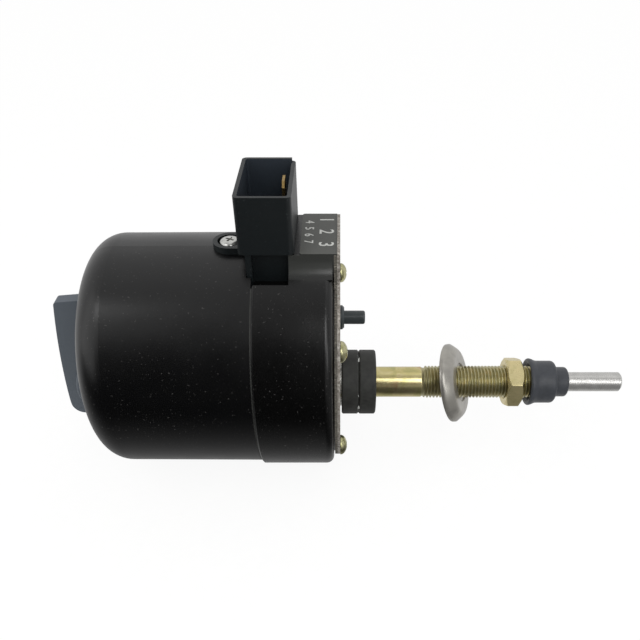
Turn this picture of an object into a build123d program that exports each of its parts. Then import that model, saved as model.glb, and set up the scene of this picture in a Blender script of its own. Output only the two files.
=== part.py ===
from build123d import *
import math
import os

os.makedirs("parts", exist_ok=True)

# Wiper motor. All sizes are in millimetres.
# X runs out along the wiper spindle, Z points up to the connector, and the origin lies on the
# spindle axis where the vehicle panel meets the outer rubber pad.

# ---------------------------------------------------------------- driving sizes
seat_gap = 0.02            # radial gap of pieces pressed or bonded together
running_gap = 0.05         # radial gap of shafts and pins in their bearings
free_gap = 0.4             # gap of parts that pass each other

# spindle, its bushing and what sits on the thread
shaft_diameter = 7.2
shaft_reach = 104.8        # shaft tip, from the plate
shaft_tip_chamfer = 0.6
grease_groove_width = 1.2
grease_groove_depth = 0.3
bushing_diameter = 11.4
thread_diameter = 12.0
bushing_bore = 9.4
thread_chamfer = 0.8
thread_start = 30.35       # from the plate
thread_end = 74.5
collar_diameter = 18.0
collar_thickness = 0.5
flange_diameter = 20.0
flange_thickness = 1.6
bush_length = 9.0
pad_diameter = 24.0
pad_thickness = 6.25
pad_edge = 0.5
washer_diameter = 29.4
washer_play = 2.3          # the washer hangs loosely and leans on the thread
washer_thickness = 1.3
washer_dish = 3.1
washer_station = 42.55     # rim centre, from the plate
washer_drop = 0.2
washer_crown = 0.85        # share of the dish reached half way in
washer_lean = (0.925, -0.25, 0.32)
nut_across_flats = 17.0
nut_thickness = 6.0
nut_station = 61.2         # rear face, from the plate
nut_chamfer = 1.1
nut_corner_clip = 0.1      # turned off the corners
nut_face_inset = 0.3
nut_bore_chamfer = 0.6
nut_turn = 30.0            # a corner points up
cap_mouth_diameter = 17.6
cap_diameter = 15.8
cap_collar_diameter = 11.1
cap_mouth_station = 69.7   # from the plate
cap_lip_station = 70.5
cap_body_station = 73.0
cap_shoulder_station = 79.8
cap_end_station = 84.6
cap_round = 1.1
cap_wall = 1.7
cap_lip_edge = 0.7
cap_collar_round = 1.0
clip_thickness = 0.8
clip_diameter = 10.0
clip_groove = 0.5

# round body: gear housing in front, rear cover behind
body_height = 15.8         # body axis above the spindle axis
motor_height = 12.5        # motor axis above the body axis
can_radius = 22.0
can_wall = 1.5
can_gap = 0.3              # between the motor can and the square nut above it
nut_side = 7.0             # square nut under the cover
square_nut_thickness = 3.2
housing_wall = 2.2
housing_front_wall = 3.0
housing_front_round = 2.6
housing_rear_chamfer = 0.5
plate_margin = 0.6         # between the plate's edge and the front round
plate_thickness = 1.0
gasket_thickness = 0.8
land_margin = 1.2
land_height = 0.4
seam_gap = 0.7             # seam behind the carrier plate
seal_thickness = 0.5
cover_step = 1.05          # between the gear housing and the smaller cover
cover_draft = 0.25
cover_wall = 2.0
cover_corner = 10.2
spigot_length = 4.0
spigot_wall = 1.2

# label block and plate tab
block_half_width = 13.8
block_rise = 3.35          # label face above the round of the housing
block_sink = 3.0           # underside below the plate's edge
block_root_round = 2.2
label_depth = 12.4         # rear edge of the raised label face, behind the plate
label_step = 0.4
label_corner = 0.9
tab_side = 0.4             # plate tab beyond the block
tab_rise = 0.35
tab_corner = 2.0

# connector
connector_front = 14.1     # behind the plate
connector_length = 17.0
connector_half_width = 15.1
connector_shift = 0.6      # box centre towards +Y
connector_rise = 3.3       # underside of the box above the round of the housing
connector_height = 18.15
connector_wall = 1.2
connector_floor = 2.4
connector_corner = 1.6
rim_step = 1.0             # lowered corner of the front wall
rim_step_width = 5.0
foot_front = 16.1          # behind the plate
foot_rear = 29.0
foot_half_width = 14.3
foot_post_length = 1.8     # full-width post at the rear of the foot
foot_recess = 3.0          # the rest of the foot stands back from the post
notch_half_width = 18.8
notch_front = 15.9
cover_notch_half_width = 15.2
tray_thickness = 1.6       # floor and front wall under the foot
tray_gap = 0.3             # between the tray and the motor's end cap
tray_half_width = 22.0
tail_window = 1.0          # gap round the blade tails
foot_gap = 0.2
ear_station = 35.4         # screw axis behind the plate
ear_radius = 5.5
ear_thickness = 1.85       # above the round of the cover
blade_width = 7.8
blade_thickness = 0.8
blade_places = ((-17.5, 5.4), (-27.2, -5.4), (-22.4, -5.4))   # behind the plate, across
blade_sinks = (2.45, 6.95, 6.95)                              # tips below the rim
blade_tail_length = 1.4    # below the foot
blade_point = 1.6

# screws
screw_diameter = 4.0
screw_head_diameter = 7.1
screw_head_height = 2.1
screw_head_round = 1.1
recess_length = 3.8
recess_width = 0.9
recess_depth = 1.0
recess_turn = 20.0
plate_screw_length = 7.6
plate_screw_y = 24.8
plate_screw_upper = 16.2   # above the body axis
plate_screw_lower = 24.7   # below the body axis
plate_boss_radius = 3.6
plate_boss_length = 5.0
carrier_screw_diameter = 3.0
carrier_screw_head = 5.4
carrier_screw_head_height = 1.8
carrier_screw_length = 8.0
carrier_boss_radius = 3.2
carrier_screw_margin = 2.2 # screw axis in from the carrier's edge
carrier_rib = 3.0
carrier_boss_angles = (25.0, 145.0, 270.0)

# locating peg
peg_diameter = 4.7
peg_length = 8.6
peg_flange_diameter = 8.4
peg_flange_thickness = 1.35
peg_height = 12.95         # above the body axis
peg_stem_diameter = 3.4
peg_tip_round = 0.7

# motor
end_cap_inset = 0.9        # end cap in from the inside of the can
end_cap_thickness = 3.2
end_cap_spigot = 2.0
end_cap_ring = 3.5
can_corner = 3.0
can_boss_radius = 6.2
can_boss_length = 3.8
motor_shaft_diameter = 4.0
motor_nose_diameter = 3.0
motor_bush_diameter = 9.0
motor_bush_length = 4.5
magnet_thickness = 4.6
magnet_overhang = 4.0      # beyond each end of the core
magnet_half_angle = 62.0
air_gap = 0.6
core_length = 22.0
core_slots = 8
slot_width = 3.2
slot_root_radius = 6.5
tooth_tip_thickness = 1.6
slot_mouth = 1.6
winding_reach = 3.6
winding_room = 1.4         # behind the windings
commutator_radius = 5.2
commutator_length = 7.0
commutator_gap = 0.4
commutator_segments = 8
brush_width = 4.0
brush_thickness = 3.0
brush_length = 7.0
brush_card_inset = 0.9     # card edge in from the inside of the can
brush_card_thickness = 1.6
brush_gap = 0.3
spring_strip = 0.6
spring_width = 3.0
spring_rise = 6.0
spring_foot = 4.0
brush_card_gap = 1.4
end_play = 0.6
core_setback = 16.9        # front of the core, behind the mouth of the can
commutator_setback = 3.4
motor_screw_circle = 14.0
motor_screw_angles = (160.0, 290.0)

# gear train: module, teeth and face width of each mesh
pressure_angle = 20.0
tooth_play = 0.10          # share of the tooth thickness taken off for play
addendum_factor = 0.85
dedendum_factor = 1.15
mesh_1_module = 0.6
mesh_2_module = 0.7
mesh_3_module = 0.9
motor_pinion_teeth = 10
first_wheel_teeth = 40
first_pinion_teeth = 10
second_wheel_teeth = 38
second_pinion_teeth = 12
crank_wheel_teeth = 40
mesh_1_direction = 21.4    # degrees, from one axle to the next
mesh_2_direction = -97.2
mesh_3_direction = 172.4
first_wheel_width = 3.5
second_wheel_width = 3.8
crank_wheel_width = 4.5
post_diameter = 4.0
gear_spacing = 0.5
post_clip_thickness = 0.6
post_clip_radius = 3.4
carrier_gap = 0.8
carrier_thickness = 1.5
carrier_edge_gap = 0.85    # inside the spigot
carrier_flat_gap = 1.0     # top edge below the tray

# crank, connecting rod and rocker
crank_radius = 9.0
rocker_radius = 11.35
crank_web_outer = 15.0
crank_web_inner = 12.0
crank_web_depth = 1.5
rocker_rest_angle = 46.7   # degrees, at the middle of the sweep
rod_thickness = 1.8
rod_width = 5.0
rod_eye_radius = 3.6
crank_eye_radius = 4.0
rod_head_radius = 2.9
rod_head_thickness = 0.7
rocker_thickness = 2.8
rocker_hub_radius = 5.6
rocker_hub_length = 5.4
rocker_eye_radius = 3.6
link_pin_diameter = 4.0
layer_gap = 0.3
thrust_washer_thickness = 0.5
thrust_washer_diameter = 13.0

# park switch
park_ring_inner = 4.6
park_ring_outer = 8.6
park_ring_thickness = 0.5
park_leaf_width = 2.6
park_leaf_thickness = 0.4
park_leaf_length = 5.0
park_leaf_offset = 0.8
park_tip_length = 4.0
park_leaf_angles = (120.0, 240.0)
park_cut_angle = 40.0

# hand lever behind the cover
lever_thickness = 4.6
lever_top = 37.3           # above the spindle axis
lever_top_slope = 1.2
lever_bottom = 13.4        # below the spindle axis
lever_rear_top = 13.9      # behind the cover
lever_rear_mid = 17.4
lever_rear_bottom = 19.1
lever_mid_height = 13.5
lever_low_height = -6.5
lever_gap = 0.8            # between the lever and the cover
lever_hub_radius = 7.0
lever_hub_length = 12.6
lever_round = 1.0
lever_top_corner = 1.3
lever_low_corner = 4.5
lever_pin_diameter = 3.0
lever_pin_station = 6.8    # behind the cover
cover_boss_radius = 8.0
cover_boss_length = 5.6
cover_boss_gap = 1.0       # between the boss and the motor can
cover_bush_wall = 2.0

# noise capacitor on the carrier
capacitor_size = (9.0, 12.0, 7.0)
capacitor_y = 22.0
capacitor_z = -18.0
capacitor_corner = 1.5

# ---------------------------------------------------------------- derived places
# the square nut lies over the motor can, the cover over the nut, and the housing follows the cover
square_nut_top = motor_height + can_radius + can_gap + square_nut_thickness
cover_inner_radius = math.hypot(square_nut_top + seat_gap, nut_side / 2) + cover_draft
cover_radius = cover_inner_radius + cover_wall
cover_rear_radius = cover_radius - cover_draft
housing_radius = cover_radius + cover_step
housing_inner_radius = housing_radius - housing_wall
ear_height = cover_radius + ear_thickness
plate_radius = housing_radius - housing_front_round - plate_margin
land_radius = plate_radius - land_margin
carrier_radius = cover_inner_radius - spigot_wall - carrier_edge_gap
carrier_boss_circle = carrier_radius - carrier_screw_margin

# the motor's end cap carries the height of the tray, the foot and the blades above it
can_inner = can_radius - can_wall
end_cap_radius = can_inner - end_cap_inset
foot_bottom = motor_height + end_cap_radius + tray_gap + tray_thickness
carrier_flat = foot_bottom - tray_thickness - carrier_flat_gap
connector_base = housing_radius + connector_rise
connector_top = connector_base + connector_height
block_height = housing_radius + block_rise
block_base = block_height - label_step
block_foot = plate_radius - block_sink
tab_half_width = block_half_width + tab_side
tab_height = block_height + tab_rise
washer_hole = thread_diameter + washer_play
nut_corner_radius = nut_across_flats / math.sqrt(3) - nut_corner_clip

plate_face = -(collar_thickness + 2 * pad_thickness)
plate_back = plate_face - plate_thickness
gasket_back = plate_back - gasket_thickness
housing_front = gasket_back - land_height
housing_inner_front = gasket_back - housing_front_wall
tray_rear = plate_face - foot_rear - foot_gap
body_axis = Axis((0, 0, body_height), (1, 0, 0))
motor_z = body_height + motor_height

rocker_front = housing_inner_front - thrust_washer_thickness - running_gap
rocker_rear = rocker_front - rocker_thickness
rod_front = rocker_rear - layer_gap
rod_rear = rod_front - rod_thickness
crank_pin_end = rod_rear - free_gap
crank_clip_front = rod_rear - free_gap
crank_clip_rear = crank_clip_front - post_clip_thickness
crank_wheel_front = crank_clip_rear - running_gap
crank_wheel_rear = crank_wheel_front - crank_wheel_width
second_wheel_front = crank_wheel_rear - gear_spacing
second_wheel_rear = second_wheel_front - second_wheel_width
first_wheel_front = second_wheel_rear - gear_spacing
first_wheel_rear = first_wheel_front - first_wheel_width
carrier_front = first_wheel_rear - carrier_gap
carrier_rear = carrier_front - carrier_thickness
seam = carrier_rear - seam_gap
seam_depth = plate_face - seam
cover_front = seam - seal_thickness
can_front = carrier_rear - end_cap_thickness
core_front = can_front - core_setback
can_length = core_setback + core_length + winding_reach + winding_room + can_wall
can_rear = can_front - can_length
cover_rear = can_rear - cover_boss_gap - cover_boss_length - cover_wall


def at_x(x, y=0.0, z=0.0):
    """Plane across the spindle direction, with local x to +Y and local y to +Z."""
    return Plane(origin=(x, y, z), x_dir=(0, 1, 0), z_dir=(1, 0, 0))


def along(z):
    """Lengthwise plane through an axis at height z, with local x to +X and local y to +Z."""
    return Plane(origin=(0, 0, z), x_dir=(1, 0, 0), z_dir=(0, -1, 0))


def polar(start, distance, degrees):
    """Point at a distance and direction from another point of the cross plane."""
    angle = math.radians(degrees)
    return (start[0] + distance * math.cos(angle), start[1] + distance * math.sin(angle))


def involute(angle):
    return math.tan(angle) - angle


def gear_points(module, teeth, turn):
    """Outline of a spur gear with involute flanks, one tooth centred on the angle turn."""
    pitch = module * teeth / 2
    base = pitch * math.cos(math.radians(pressure_angle))
    tip = pitch + addendum_factor * module
    root = pitch - dedendum_factor * module
    half_tooth = math.pi / (2 * teeth) * (1 - tooth_play)
    at_pitch = involute(math.radians(pressure_angle))
    flank = []
    for radius in (max(root, base), (max(root, base) + tip) / 2, tip):
        half = half_tooth + at_pitch - involute(math.acos(min(1.0, base / radius)))
        flank.append((radius, half))
    if root < base:
        flank.insert(0, (root, flank[0][1]))
    points = []
    for tooth in range(teeth):
        centre = turn + 2 * math.pi * tooth / teeth
        for radius, half in flank:
            points.append((radius * math.cos(centre - half), radius * math.sin(centre - half)))
        for radius, half in reversed(flank):
            points.append((radius * math.cos(centre + half), radius * math.sin(centre + half)))
    return points


def meshing_turn(turn, teeth, other_teeth, direction):
    """Turn of the second gear whose tooth gap faces a tooth of the first one."""
    angle = math.radians(direction)
    return angle + math.pi - (turn - angle) * teeth / other_teeth + math.pi / other_teeth


# axle places in the cross plane, as (y, z)
motor_place = (0.0, motor_z)
first_place = polar(motor_place, mesh_1_module * (motor_pinion_teeth + first_wheel_teeth) / 2,
                    mesh_1_direction)
second_place = polar(first_place, mesh_2_module * (first_pinion_teeth + second_wheel_teeth) / 2,
                     mesh_2_direction)
crank_place = polar(second_place, mesh_3_module * (second_pinion_teeth + crank_wheel_teeth) / 2,
                    mesh_3_direction)
first_wheel_turn = meshing_turn(0.0, motor_pinion_teeth, first_wheel_teeth, mesh_1_direction)
second_wheel_turn = meshing_turn(0.0, first_pinion_teeth, second_wheel_teeth, mesh_2_direction)
crank_wheel_turn = meshing_turn(0.0, second_pinion_teeth, crank_wheel_teeth, mesh_3_direction)

# the crank and rocker are centred, so this rod length makes both strokes alike
crank_distance = math.hypot(*crank_place)
rod_length = math.sqrt(crank_distance ** 2 + crank_radius ** 2 - rocker_radius ** 2)
rocker_place = polar((0, 0), rocker_radius, rocker_rest_angle)
reach_y = rocker_place[0] - crank_place[0]
reach_z = rocker_place[1] - crank_place[1]
reach = math.hypot(reach_y, reach_z)
crank_corner = math.degrees(math.acos(
    (crank_radius ** 2 + reach ** 2 - rod_length ** 2) / (2 * crank_radius * reach)))
crank_pin_angle = math.degrees(math.atan2(reach_z, reach_y)) + crank_corner
crank_pin_place = polar(crank_place, crank_radius, crank_pin_angle)
rod_angle = math.degrees(math.atan2(crank_pin_place[1] - rocker_place[1],
                                    crank_pin_place[0] - rocker_place[0]))

plate_screw_places = []
for side in (-1, 1):
    plate_screw_places.append((side * plate_screw_y, body_height + plate_screw_upper))
    plate_screw_places.append((side * plate_screw_y, body_height - plate_screw_lower))
carrier_screw_places = [
    polar((0, body_height), carrier_boss_circle, angle) for angle in carrier_boss_angles]
motor_screw_places = [
    polar(motor_place, motor_screw_circle, angle) for angle in motor_screw_angles]
carrier_rib_places = [
    Location((place[0], place[1], 0), (0, 0, angle))
    for place, angle in zip(carrier_screw_places, carrier_boss_angles)]

# ---------------------------------------------------------------- mounting plate
with BuildPart() as mounting_plate:
    with BuildSketch(at_x(plate_back, 0, body_height)) as plate_outline:
        Circle(plate_radius)
        with Locations((0, tab_height / 2)):
            Rectangle(2 * tab_half_width, tab_height)
        tab_corners = plate_outline.vertices().group_by(Axis.Y)[-1]
        fillet(tab_corners, radius=tab_corner)
    extrude(amount=plate_thickness)
    with BuildSketch(at_x(plate_back)):
        Circle(bushing_diameter / 2 + seat_gap)
        with Locations((0, body_height + peg_height)):
            Circle(peg_stem_diameter / 2 + seat_gap)
        with Locations(*plate_screw_places):
            Circle(screw_diameter / 2 + seat_gap)
    extrude(amount=plate_thickness, mode=Mode.SUBTRACT)
mounting_plate.part.label = "mounting_plate"
export_step(mounting_plate.part, "parts/mounting_plate.step")

# ---------------------------------------------------------------- plate gasket
with BuildPart() as plate_gasket:
    with BuildSketch(at_x(gasket_back, 0, body_height)):
        Circle(plate_radius)
        with Locations((0, block_height)):
            Rectangle(2 * block_half_width + free_gap, 2 * (block_height - block_foot + seat_gap),
                      mode=Mode.SUBTRACT)
    extrude(amount=gasket_thickness)
    with BuildSketch(at_x(gasket_back)):
        Circle(flange_diameter / 2 + running_gap)
        with Locations((0, body_height + peg_height)):
            Circle(peg_stem_diameter / 2 + seat_gap)
        with Locations(*plate_screw_places):
            Circle(screw_diameter / 2 + seat_gap)
    extrude(amount=gasket_thickness, mode=Mode.SUBTRACT)
plate_gasket.part.label = "plate_gasket"
export_step(plate_gasket.part, "parts/plate_gasket.step")

# ---------------------------------------------------------------- gear housing
with BuildPart() as gear_housing:
    # cup, with a raised land that carries the gasket
    with BuildSketch(at_x(seam, 0, body_height)):
        Circle(housing_radius)
    extrude(amount=housing_front - seam)
    fillet(gear_housing.edges().group_by(Axis.X)[-1], radius=housing_front_round)
    chamfer(gear_housing.edges().group_by(Axis.X)[0], length=housing_rear_chamfer)
    with BuildSketch(at_x(housing_front, 0, body_height)):
        Circle(land_radius)
    extrude(amount=land_height)
    # block in front of the connector, blended into the round of the housing
    with BuildSketch(at_x(plate_face - notch_front, 0, body_height)):
        with Locations((0, block_foot)):
            Rectangle(2 * block_half_width, block_base - block_foot,
                      align=(Align.CENTER, Align.MIN))
    extrude(amount=notch_front - plate_thickness)
    with BuildSketch(at_x(plate_face - notch_front, 0, body_height)) as block_outline:
        Circle(housing_radius)
        with Locations((0, block_foot)):
            Rectangle(2 * block_half_width, block_base - block_foot,
                      align=(Align.CENTER, Align.MIN))
        fillet(block_outline.vertices().group_by(Axis.Y)[-2], radius=block_root_round)
        with Locations((0, block_foot)):
            Rectangle(2 * (block_half_width + block_root_round), block_base,
                      align=(Align.CENTER, Align.MIN), mode=Mode.INTERSECT)
    extrude(amount=housing_front - housing_front_round - plate_face + notch_front)
    # raised face for the label on top of the block
    with BuildSketch(Plane.XY.offset(body_height + block_base)) as label_outline:
        with Locations((plate_back, 0)):
            Rectangle(label_depth - plate_thickness, 2 * block_half_width,
                      align=(Align.MAX, Align.CENTER))
        fillet(label_outline.vertices().group_by(Axis.X)[0], radius=label_corner)
    extrude(amount=label_step)
    # cavity
    with BuildSketch(at_x(seam, 0, body_height)):
        Circle(housing_inner_radius)
    extrude(amount=housing_inner_front - seam, mode=Mode.SUBTRACT)
    # spigot that the rear cover slides over
    with BuildSketch(at_x(seam - spigot_length, 0, body_height)):
        Circle(cover_inner_radius - seat_gap)
        Circle(cover_inner_radius - spigot_wall, mode=Mode.SUBTRACT)
    extrude(amount=spigot_length)
    with BuildSketch(at_x(seam, 0, body_height)):
        Circle(housing_radius - housing_rear_chamfer)
        Circle(cover_inner_radius - spigot_wall, mode=Mode.SUBTRACT)
    extrude(amount=spigot_wall)
    # bosses for the plate screws and the carrier screws
    with BuildSketch(at_x(housing_inner_front)):
        with Locations(*plate_screw_places):
            Circle(plate_boss_radius)
    extrude(amount=-plate_boss_length)
    with BuildSketch(at_x(housing_inner_front)):
        with Locations(*carrier_screw_places):
            Circle(carrier_boss_radius)
        with Locations(*carrier_rib_places):
            Rectangle(housing_radius - housing_wall / 2 - carrier_boss_circle, carrier_rib,
                      align=(Align.MIN, Align.CENTER))
    extrude(amount=carrier_front - housing_inner_front)
    # floor and front wall of the notch for the connector foot
    with BuildSketch(at_x(seam, 0, body_height)):
        Circle(housing_radius - housing_wall / 2)
        with Locations((0, foot_bottom - tray_thickness)):
            Rectangle(2 * tray_half_width, housing_radius, align=(Align.CENTER, Align.MIN),
                      mode=Mode.INTERSECT)
    extrude(amount=seam_depth - notch_front + tray_thickness)
    with BuildSketch(at_x(tray_rear, 0, body_height)):
        Circle(cover_inner_radius - seat_gap)
        with Locations((0, foot_bottom - tray_thickness)):
            Rectangle(2 * tray_half_width, housing_radius, align=(Align.CENTER, Align.MIN),
                      mode=Mode.INTERSECT)
    extrude(amount=seam - tray_rear)
    # notch for the connector foot
    with BuildSketch(at_x(seam - spigot_length, 0, body_height)):
        with Locations((0, housing_radius)):
            Rectangle(2 * notch_half_width, 2 * (housing_radius - foot_bottom))
    extrude(amount=spigot_length + seam_depth - notch_front, mode=Mode.SUBTRACT)
    with BuildSketch(Plane.XY.offset(body_height + foot_bottom)):
        for place, across in blade_places:
            with Locations((plate_face + place, across)):
                Rectangle(blade_thickness + 2 * tail_window, blade_width + 2 * tail_window)
    extrude(amount=-tray_thickness, mode=Mode.SUBTRACT)
    # holes: spindle and its flange, peg, plate screws, carrier screws
    with BuildSketch(at_x(housing_inner_front)):
        Circle(bushing_diameter / 2 + running_gap)
    extrude(amount=housing_front_wall, mode=Mode.SUBTRACT)
    with BuildSketch(at_x(plate_back)):
        Circle(flange_diameter / 2 + running_gap)
    extrude(amount=-flange_thickness, mode=Mode.SUBTRACT)
    with BuildSketch(at_x(gasket_back)):
        with Locations((0, body_height + peg_height)):
            Circle(peg_stem_diameter / 2 + seat_gap)
    extrude(amount=-(peg_flange_thickness + running_gap), mode=Mode.SUBTRACT)
    with BuildSketch(at_x(gasket_back)):
        with Locations(*plate_screw_places):
            Circle(screw_diameter / 2 + seat_gap)
    extrude(amount=-(plate_screw_length - plate_thickness - gasket_thickness + running_gap),
            mode=Mode.SUBTRACT)
    with BuildSketch(at_x(carrier_front)):
        with Locations(*carrier_screw_places):
            Circle(carrier_screw_diameter / 2 + seat_gap)
    extrude(amount=carrier_screw_length - carrier_thickness + running_gap, mode=Mode.SUBTRACT)
gear_housing.part.label = "gear_housing"
export_step(gear_housing.part, "parts/gear_housing.step")

# ---------------------------------------------------------------- cover seal
with BuildPart() as cover_seal:
    with BuildSketch(at_x(cover_front, 0, body_height)):
        Circle(cover_radius)
        Circle(cover_inner_radius + seat_gap, mode=Mode.SUBTRACT)
        with Locations((0, housing_radius)):
            Rectangle(2 * notch_half_width, 2 * (housing_radius - foot_bottom), mode=Mode.SUBTRACT)
    extrude(amount=seal_thickness)
cover_seal.part.label = "cover_seal"
export_step(cover_seal.part, "parts/cover_seal.step")

# ---------------------------------------------------------------- rear cover
with BuildPart() as rear_cover:
    # drawn cup with a slight draft and a large rear corner
    with BuildSketch(along(body_height)):
        with BuildLine() as cover_profile:
            outer_side = Line((cover_front, cover_radius), (cover_rear, cover_rear_radius))
            outer_back = Line(outer_side @ 1, (cover_rear, 0))
            Line(outer_back @ 1, (cover_rear + cover_wall, 0))
            inner_back = Line((cover_rear + cover_wall, 0),
                              (cover_rear + cover_wall, cover_rear_radius - cover_wall))
            inner_side = Line(inner_back @ 1, (cover_front, cover_inner_radius))
            Line(inner_side @ 1, outer_side @ 0)
        make_face()
    revolve(axis=body_axis)
    outer_corner = rear_cover.edges().filter_by(GeomType.CIRCLE).sort_by(
        lambda edge: edge.distance_to(Vector(cover_rear, 0, body_height + cover_rear_radius)))[0]
    fillet(outer_corner, radius=cover_corner)
    inner_corner = rear_cover.edges().filter_by(GeomType.CIRCLE).sort_by(
        lambda edge: edge.distance_to(
            Vector(cover_rear + cover_wall, 0, body_height + cover_rear_radius - cover_wall)))[0]
    fillet(inner_corner, radius=cover_corner - cover_wall)
    # boss for the rear spindle bush
    with BuildSketch(at_x(cover_rear + cover_wall)):
        Circle(cover_boss_radius)
    extrude(amount=cover_boss_length)
    with BuildSketch(at_x(cover_rear + cover_wall)):
        Circle(shaft_diameter / 2 + cover_bush_wall + seat_gap)
    extrude(amount=cover_boss_length, mode=Mode.SUBTRACT)
    with BuildSketch(at_x(cover_rear)):
        Circle(shaft_diameter / 2 + free_gap)
    extrude(amount=cover_wall, mode=Mode.SUBTRACT)
    # notch for the connector foot, and the hole of its screw
    with BuildSketch(at_x(tray_rear, 0, body_height)):
        with Locations((0, housing_radius)):
            Rectangle(2 * cover_notch_half_width, 2 * (housing_radius - foot_bottom))
    extrude(amount=seam - tray_rear, mode=Mode.SUBTRACT)
    with BuildSketch(Plane.XY.offset(body_height)):
        with Locations((plate_face - ear_station, 0)):
            Circle(screw_diameter / 2 + seat_gap)
    extrude(amount=cover_radius, mode=Mode.SUBTRACT)
rear_cover.part.label = "rear_cover"
export_step(rear_cover.part, "parts/rear_cover.step")

# ---------------------------------------------------------------- connector housing
box_rear = plate_face - connector_front - connector_length
box_middle = plate_face - connector_front - connector_length / 2
with BuildPart() as connector_housing:
    # socket box, open at the top
    with BuildSketch(Plane.XY.offset(body_height + connector_base)):
        with Locations((box_middle, connector_shift)):
            Rectangle(connector_length, 2 * connector_half_width)
    extrude(amount=connector_height)
    fillet(connector_housing.edges().filter_by(Axis.Z), radius=connector_corner)
    # foot, riser and ear
    with BuildSketch(Plane.XY.offset(body_height + foot_bottom)):
        with Locations((plate_face - foot_rear, 0)):
            Rectangle(foot_post_length, 2 * foot_half_width, align=(Align.MIN, Align.CENTER))
            Rectangle(foot_rear - foot_front, 2 * (foot_half_width - foot_recess),
                      align=(Align.MIN, Align.CENTER))
    extrude(amount=connector_base - foot_bottom)
    with BuildSketch(Plane.XY.offset(body_height + foot_bottom)):
        with Locations(((plate_face - foot_rear + box_rear) / 2, 0)):
            Rectangle(plate_face - foot_rear - box_rear, 2 * ear_radius)
    extrude(amount=connector_base - foot_bottom)
    with BuildSketch(Plane.XY.offset(body_height + foot_bottom)):
        with Locations((plate_face - ear_station, 0)):
            Circle(ear_radius)
            Rectangle(ear_station - foot_rear, 2 * ear_radius, align=(Align.MIN, Align.CENTER))
    extrude(amount=ear_height - foot_bottom)
    # the ear lies on the round of the cover
    with BuildSketch(at_x(plate_face - ear_station - ear_radius, 0, body_height)):
        Circle(cover_radius + seat_gap)
    extrude(amount=ear_station + ear_radius - foot_rear - foot_gap / 2, mode=Mode.SUBTRACT)
    # inside of the socket
    with BuildSketch(Plane.XY.offset(body_height + connector_base + connector_floor)):
        with Locations((box_middle, connector_shift)):
            RectangleRounded(connector_length - 2 * connector_wall,
                             2 * (connector_half_width - connector_wall), connector_corner / 2)
    extrude(amount=connector_height - connector_floor, mode=Mode.SUBTRACT)
    # lowered corner of the front wall
    with BuildSketch(at_x(plate_face - connector_front, 0, body_height)):
        with Locations((connector_shift + connector_half_width, connector_top)):
            Rectangle(rim_step_width, rim_step, align=(Align.MAX, Align.MAX))
    extrude(amount=-connector_wall, mode=Mode.SUBTRACT)
    # slots of the blades and hole of the screw
    with BuildSketch(Plane.XY.offset(body_height + foot_bottom)):
        for place, across in blade_places:
            with Locations((plate_face + place, across)):
                Rectangle(blade_thickness + 2 * seat_gap, blade_width + 2 * seat_gap)
        with Locations((plate_face - ear_station, 0)):
            Circle(screw_diameter / 2 + seat_gap)
    extrude(amount=connector_base + connector_floor - foot_bottom, mode=Mode.SUBTRACT)
connector_housing.part.label = "connector_housing"
export_step(connector_housing.part, "parts/connector_housing.step")

# ---------------------------------------------------------------- terminal blades
with BuildPart() as terminal_blades:
    blade_tail = foot_bottom - blade_tail_length
    for (place, across), sink in zip(blade_places, blade_sinks):
        tip = connector_top - sink
        with BuildSketch(at_x(plate_face + place - blade_thickness / 2, across, body_height)):
            with BuildLine():
                Polyline((-blade_width / 2, blade_tail), (blade_width / 2, blade_tail),
                         (blade_width / 2, tip - blade_point),
                         (blade_width / 2 - blade_point, tip),
                         (-blade_width / 2 + blade_point, tip),
                         (-blade_width / 2, tip - blade_point), close=True)
            make_face()
        extrude(amount=blade_thickness)
terminal_blades.part.label = "terminal_blades"
export_step(terminal_blades.part, "parts/terminal_blades.step")

# ---------------------------------------------------------------- connector screw and square nut
with BuildPart() as connector_screw:
    with BuildSketch(Plane.XY.offset(body_height + ear_height)):
        with Locations((plate_face - ear_station, 0)):
            Circle(screw_head_diameter / 2)
    extrude(amount=screw_head_height)
    fillet(connector_screw.edges().group_by(Axis.Z)[-1], radius=screw_head_round)
    with BuildSketch(Plane.XY.offset(body_height + ear_height)):
        with Locations((plate_face - ear_station, 0)):
            Circle(screw_diameter / 2)
    extrude(amount=-(ear_height - square_nut_top + square_nut_thickness))
    with BuildSketch(Plane.XY.offset(body_height + ear_height + screw_head_height)):
        with Locations((plate_face - ear_station, 0)):
            Rectangle(recess_length, recess_width, rotation=recess_turn)
            Rectangle(recess_width, recess_length, rotation=recess_turn)
    extrude(amount=-recess_depth, mode=Mode.SUBTRACT)
connector_screw.part.label = "connector_screw"
export_step(connector_screw.part, "parts/connector_screw.step")

with BuildPart() as connector_nut:
    with BuildSketch(Plane.XY.offset(body_height + square_nut_top)):
        with Locations((plate_face - ear_station, 0)):
            Rectangle(nut_side, nut_side)
            Circle(screw_diameter / 2 + seat_gap, mode=Mode.SUBTRACT)
    extrude(amount=-square_nut_thickness)
connector_nut.part.label = "connector_nut"
export_step(connector_nut.part, "parts/connector_nut.step")

# ---------------------------------------------------------------- plate screws
with BuildPart() as plate_screws:
    with BuildSketch(at_x(plate_face)):
        with Locations(*plate_screw_places):
            Circle(screw_head_diameter / 2)
    extrude(amount=screw_head_height)
    fillet(plate_screws.edges().group_by(Axis.X)[-1], radius=screw_head_round)
    with BuildSketch(at_x(plate_face)):
        with Locations(*plate_screw_places):
            Circle(screw_diameter / 2)
    extrude(amount=-plate_screw_length)
    with BuildSketch(at_x(plate_face + screw_head_height)):
        with Locations(*plate_screw_places):
            Rectangle(recess_length, recess_width, rotation=recess_turn)
            Rectangle(recess_width, recess_length, rotation=recess_turn)
    extrude(amount=-recess_depth, mode=Mode.SUBTRACT)
plate_screws.part.label = "plate_screws"
export_step(plate_screws.part, "parts/plate_screws.step")

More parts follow.
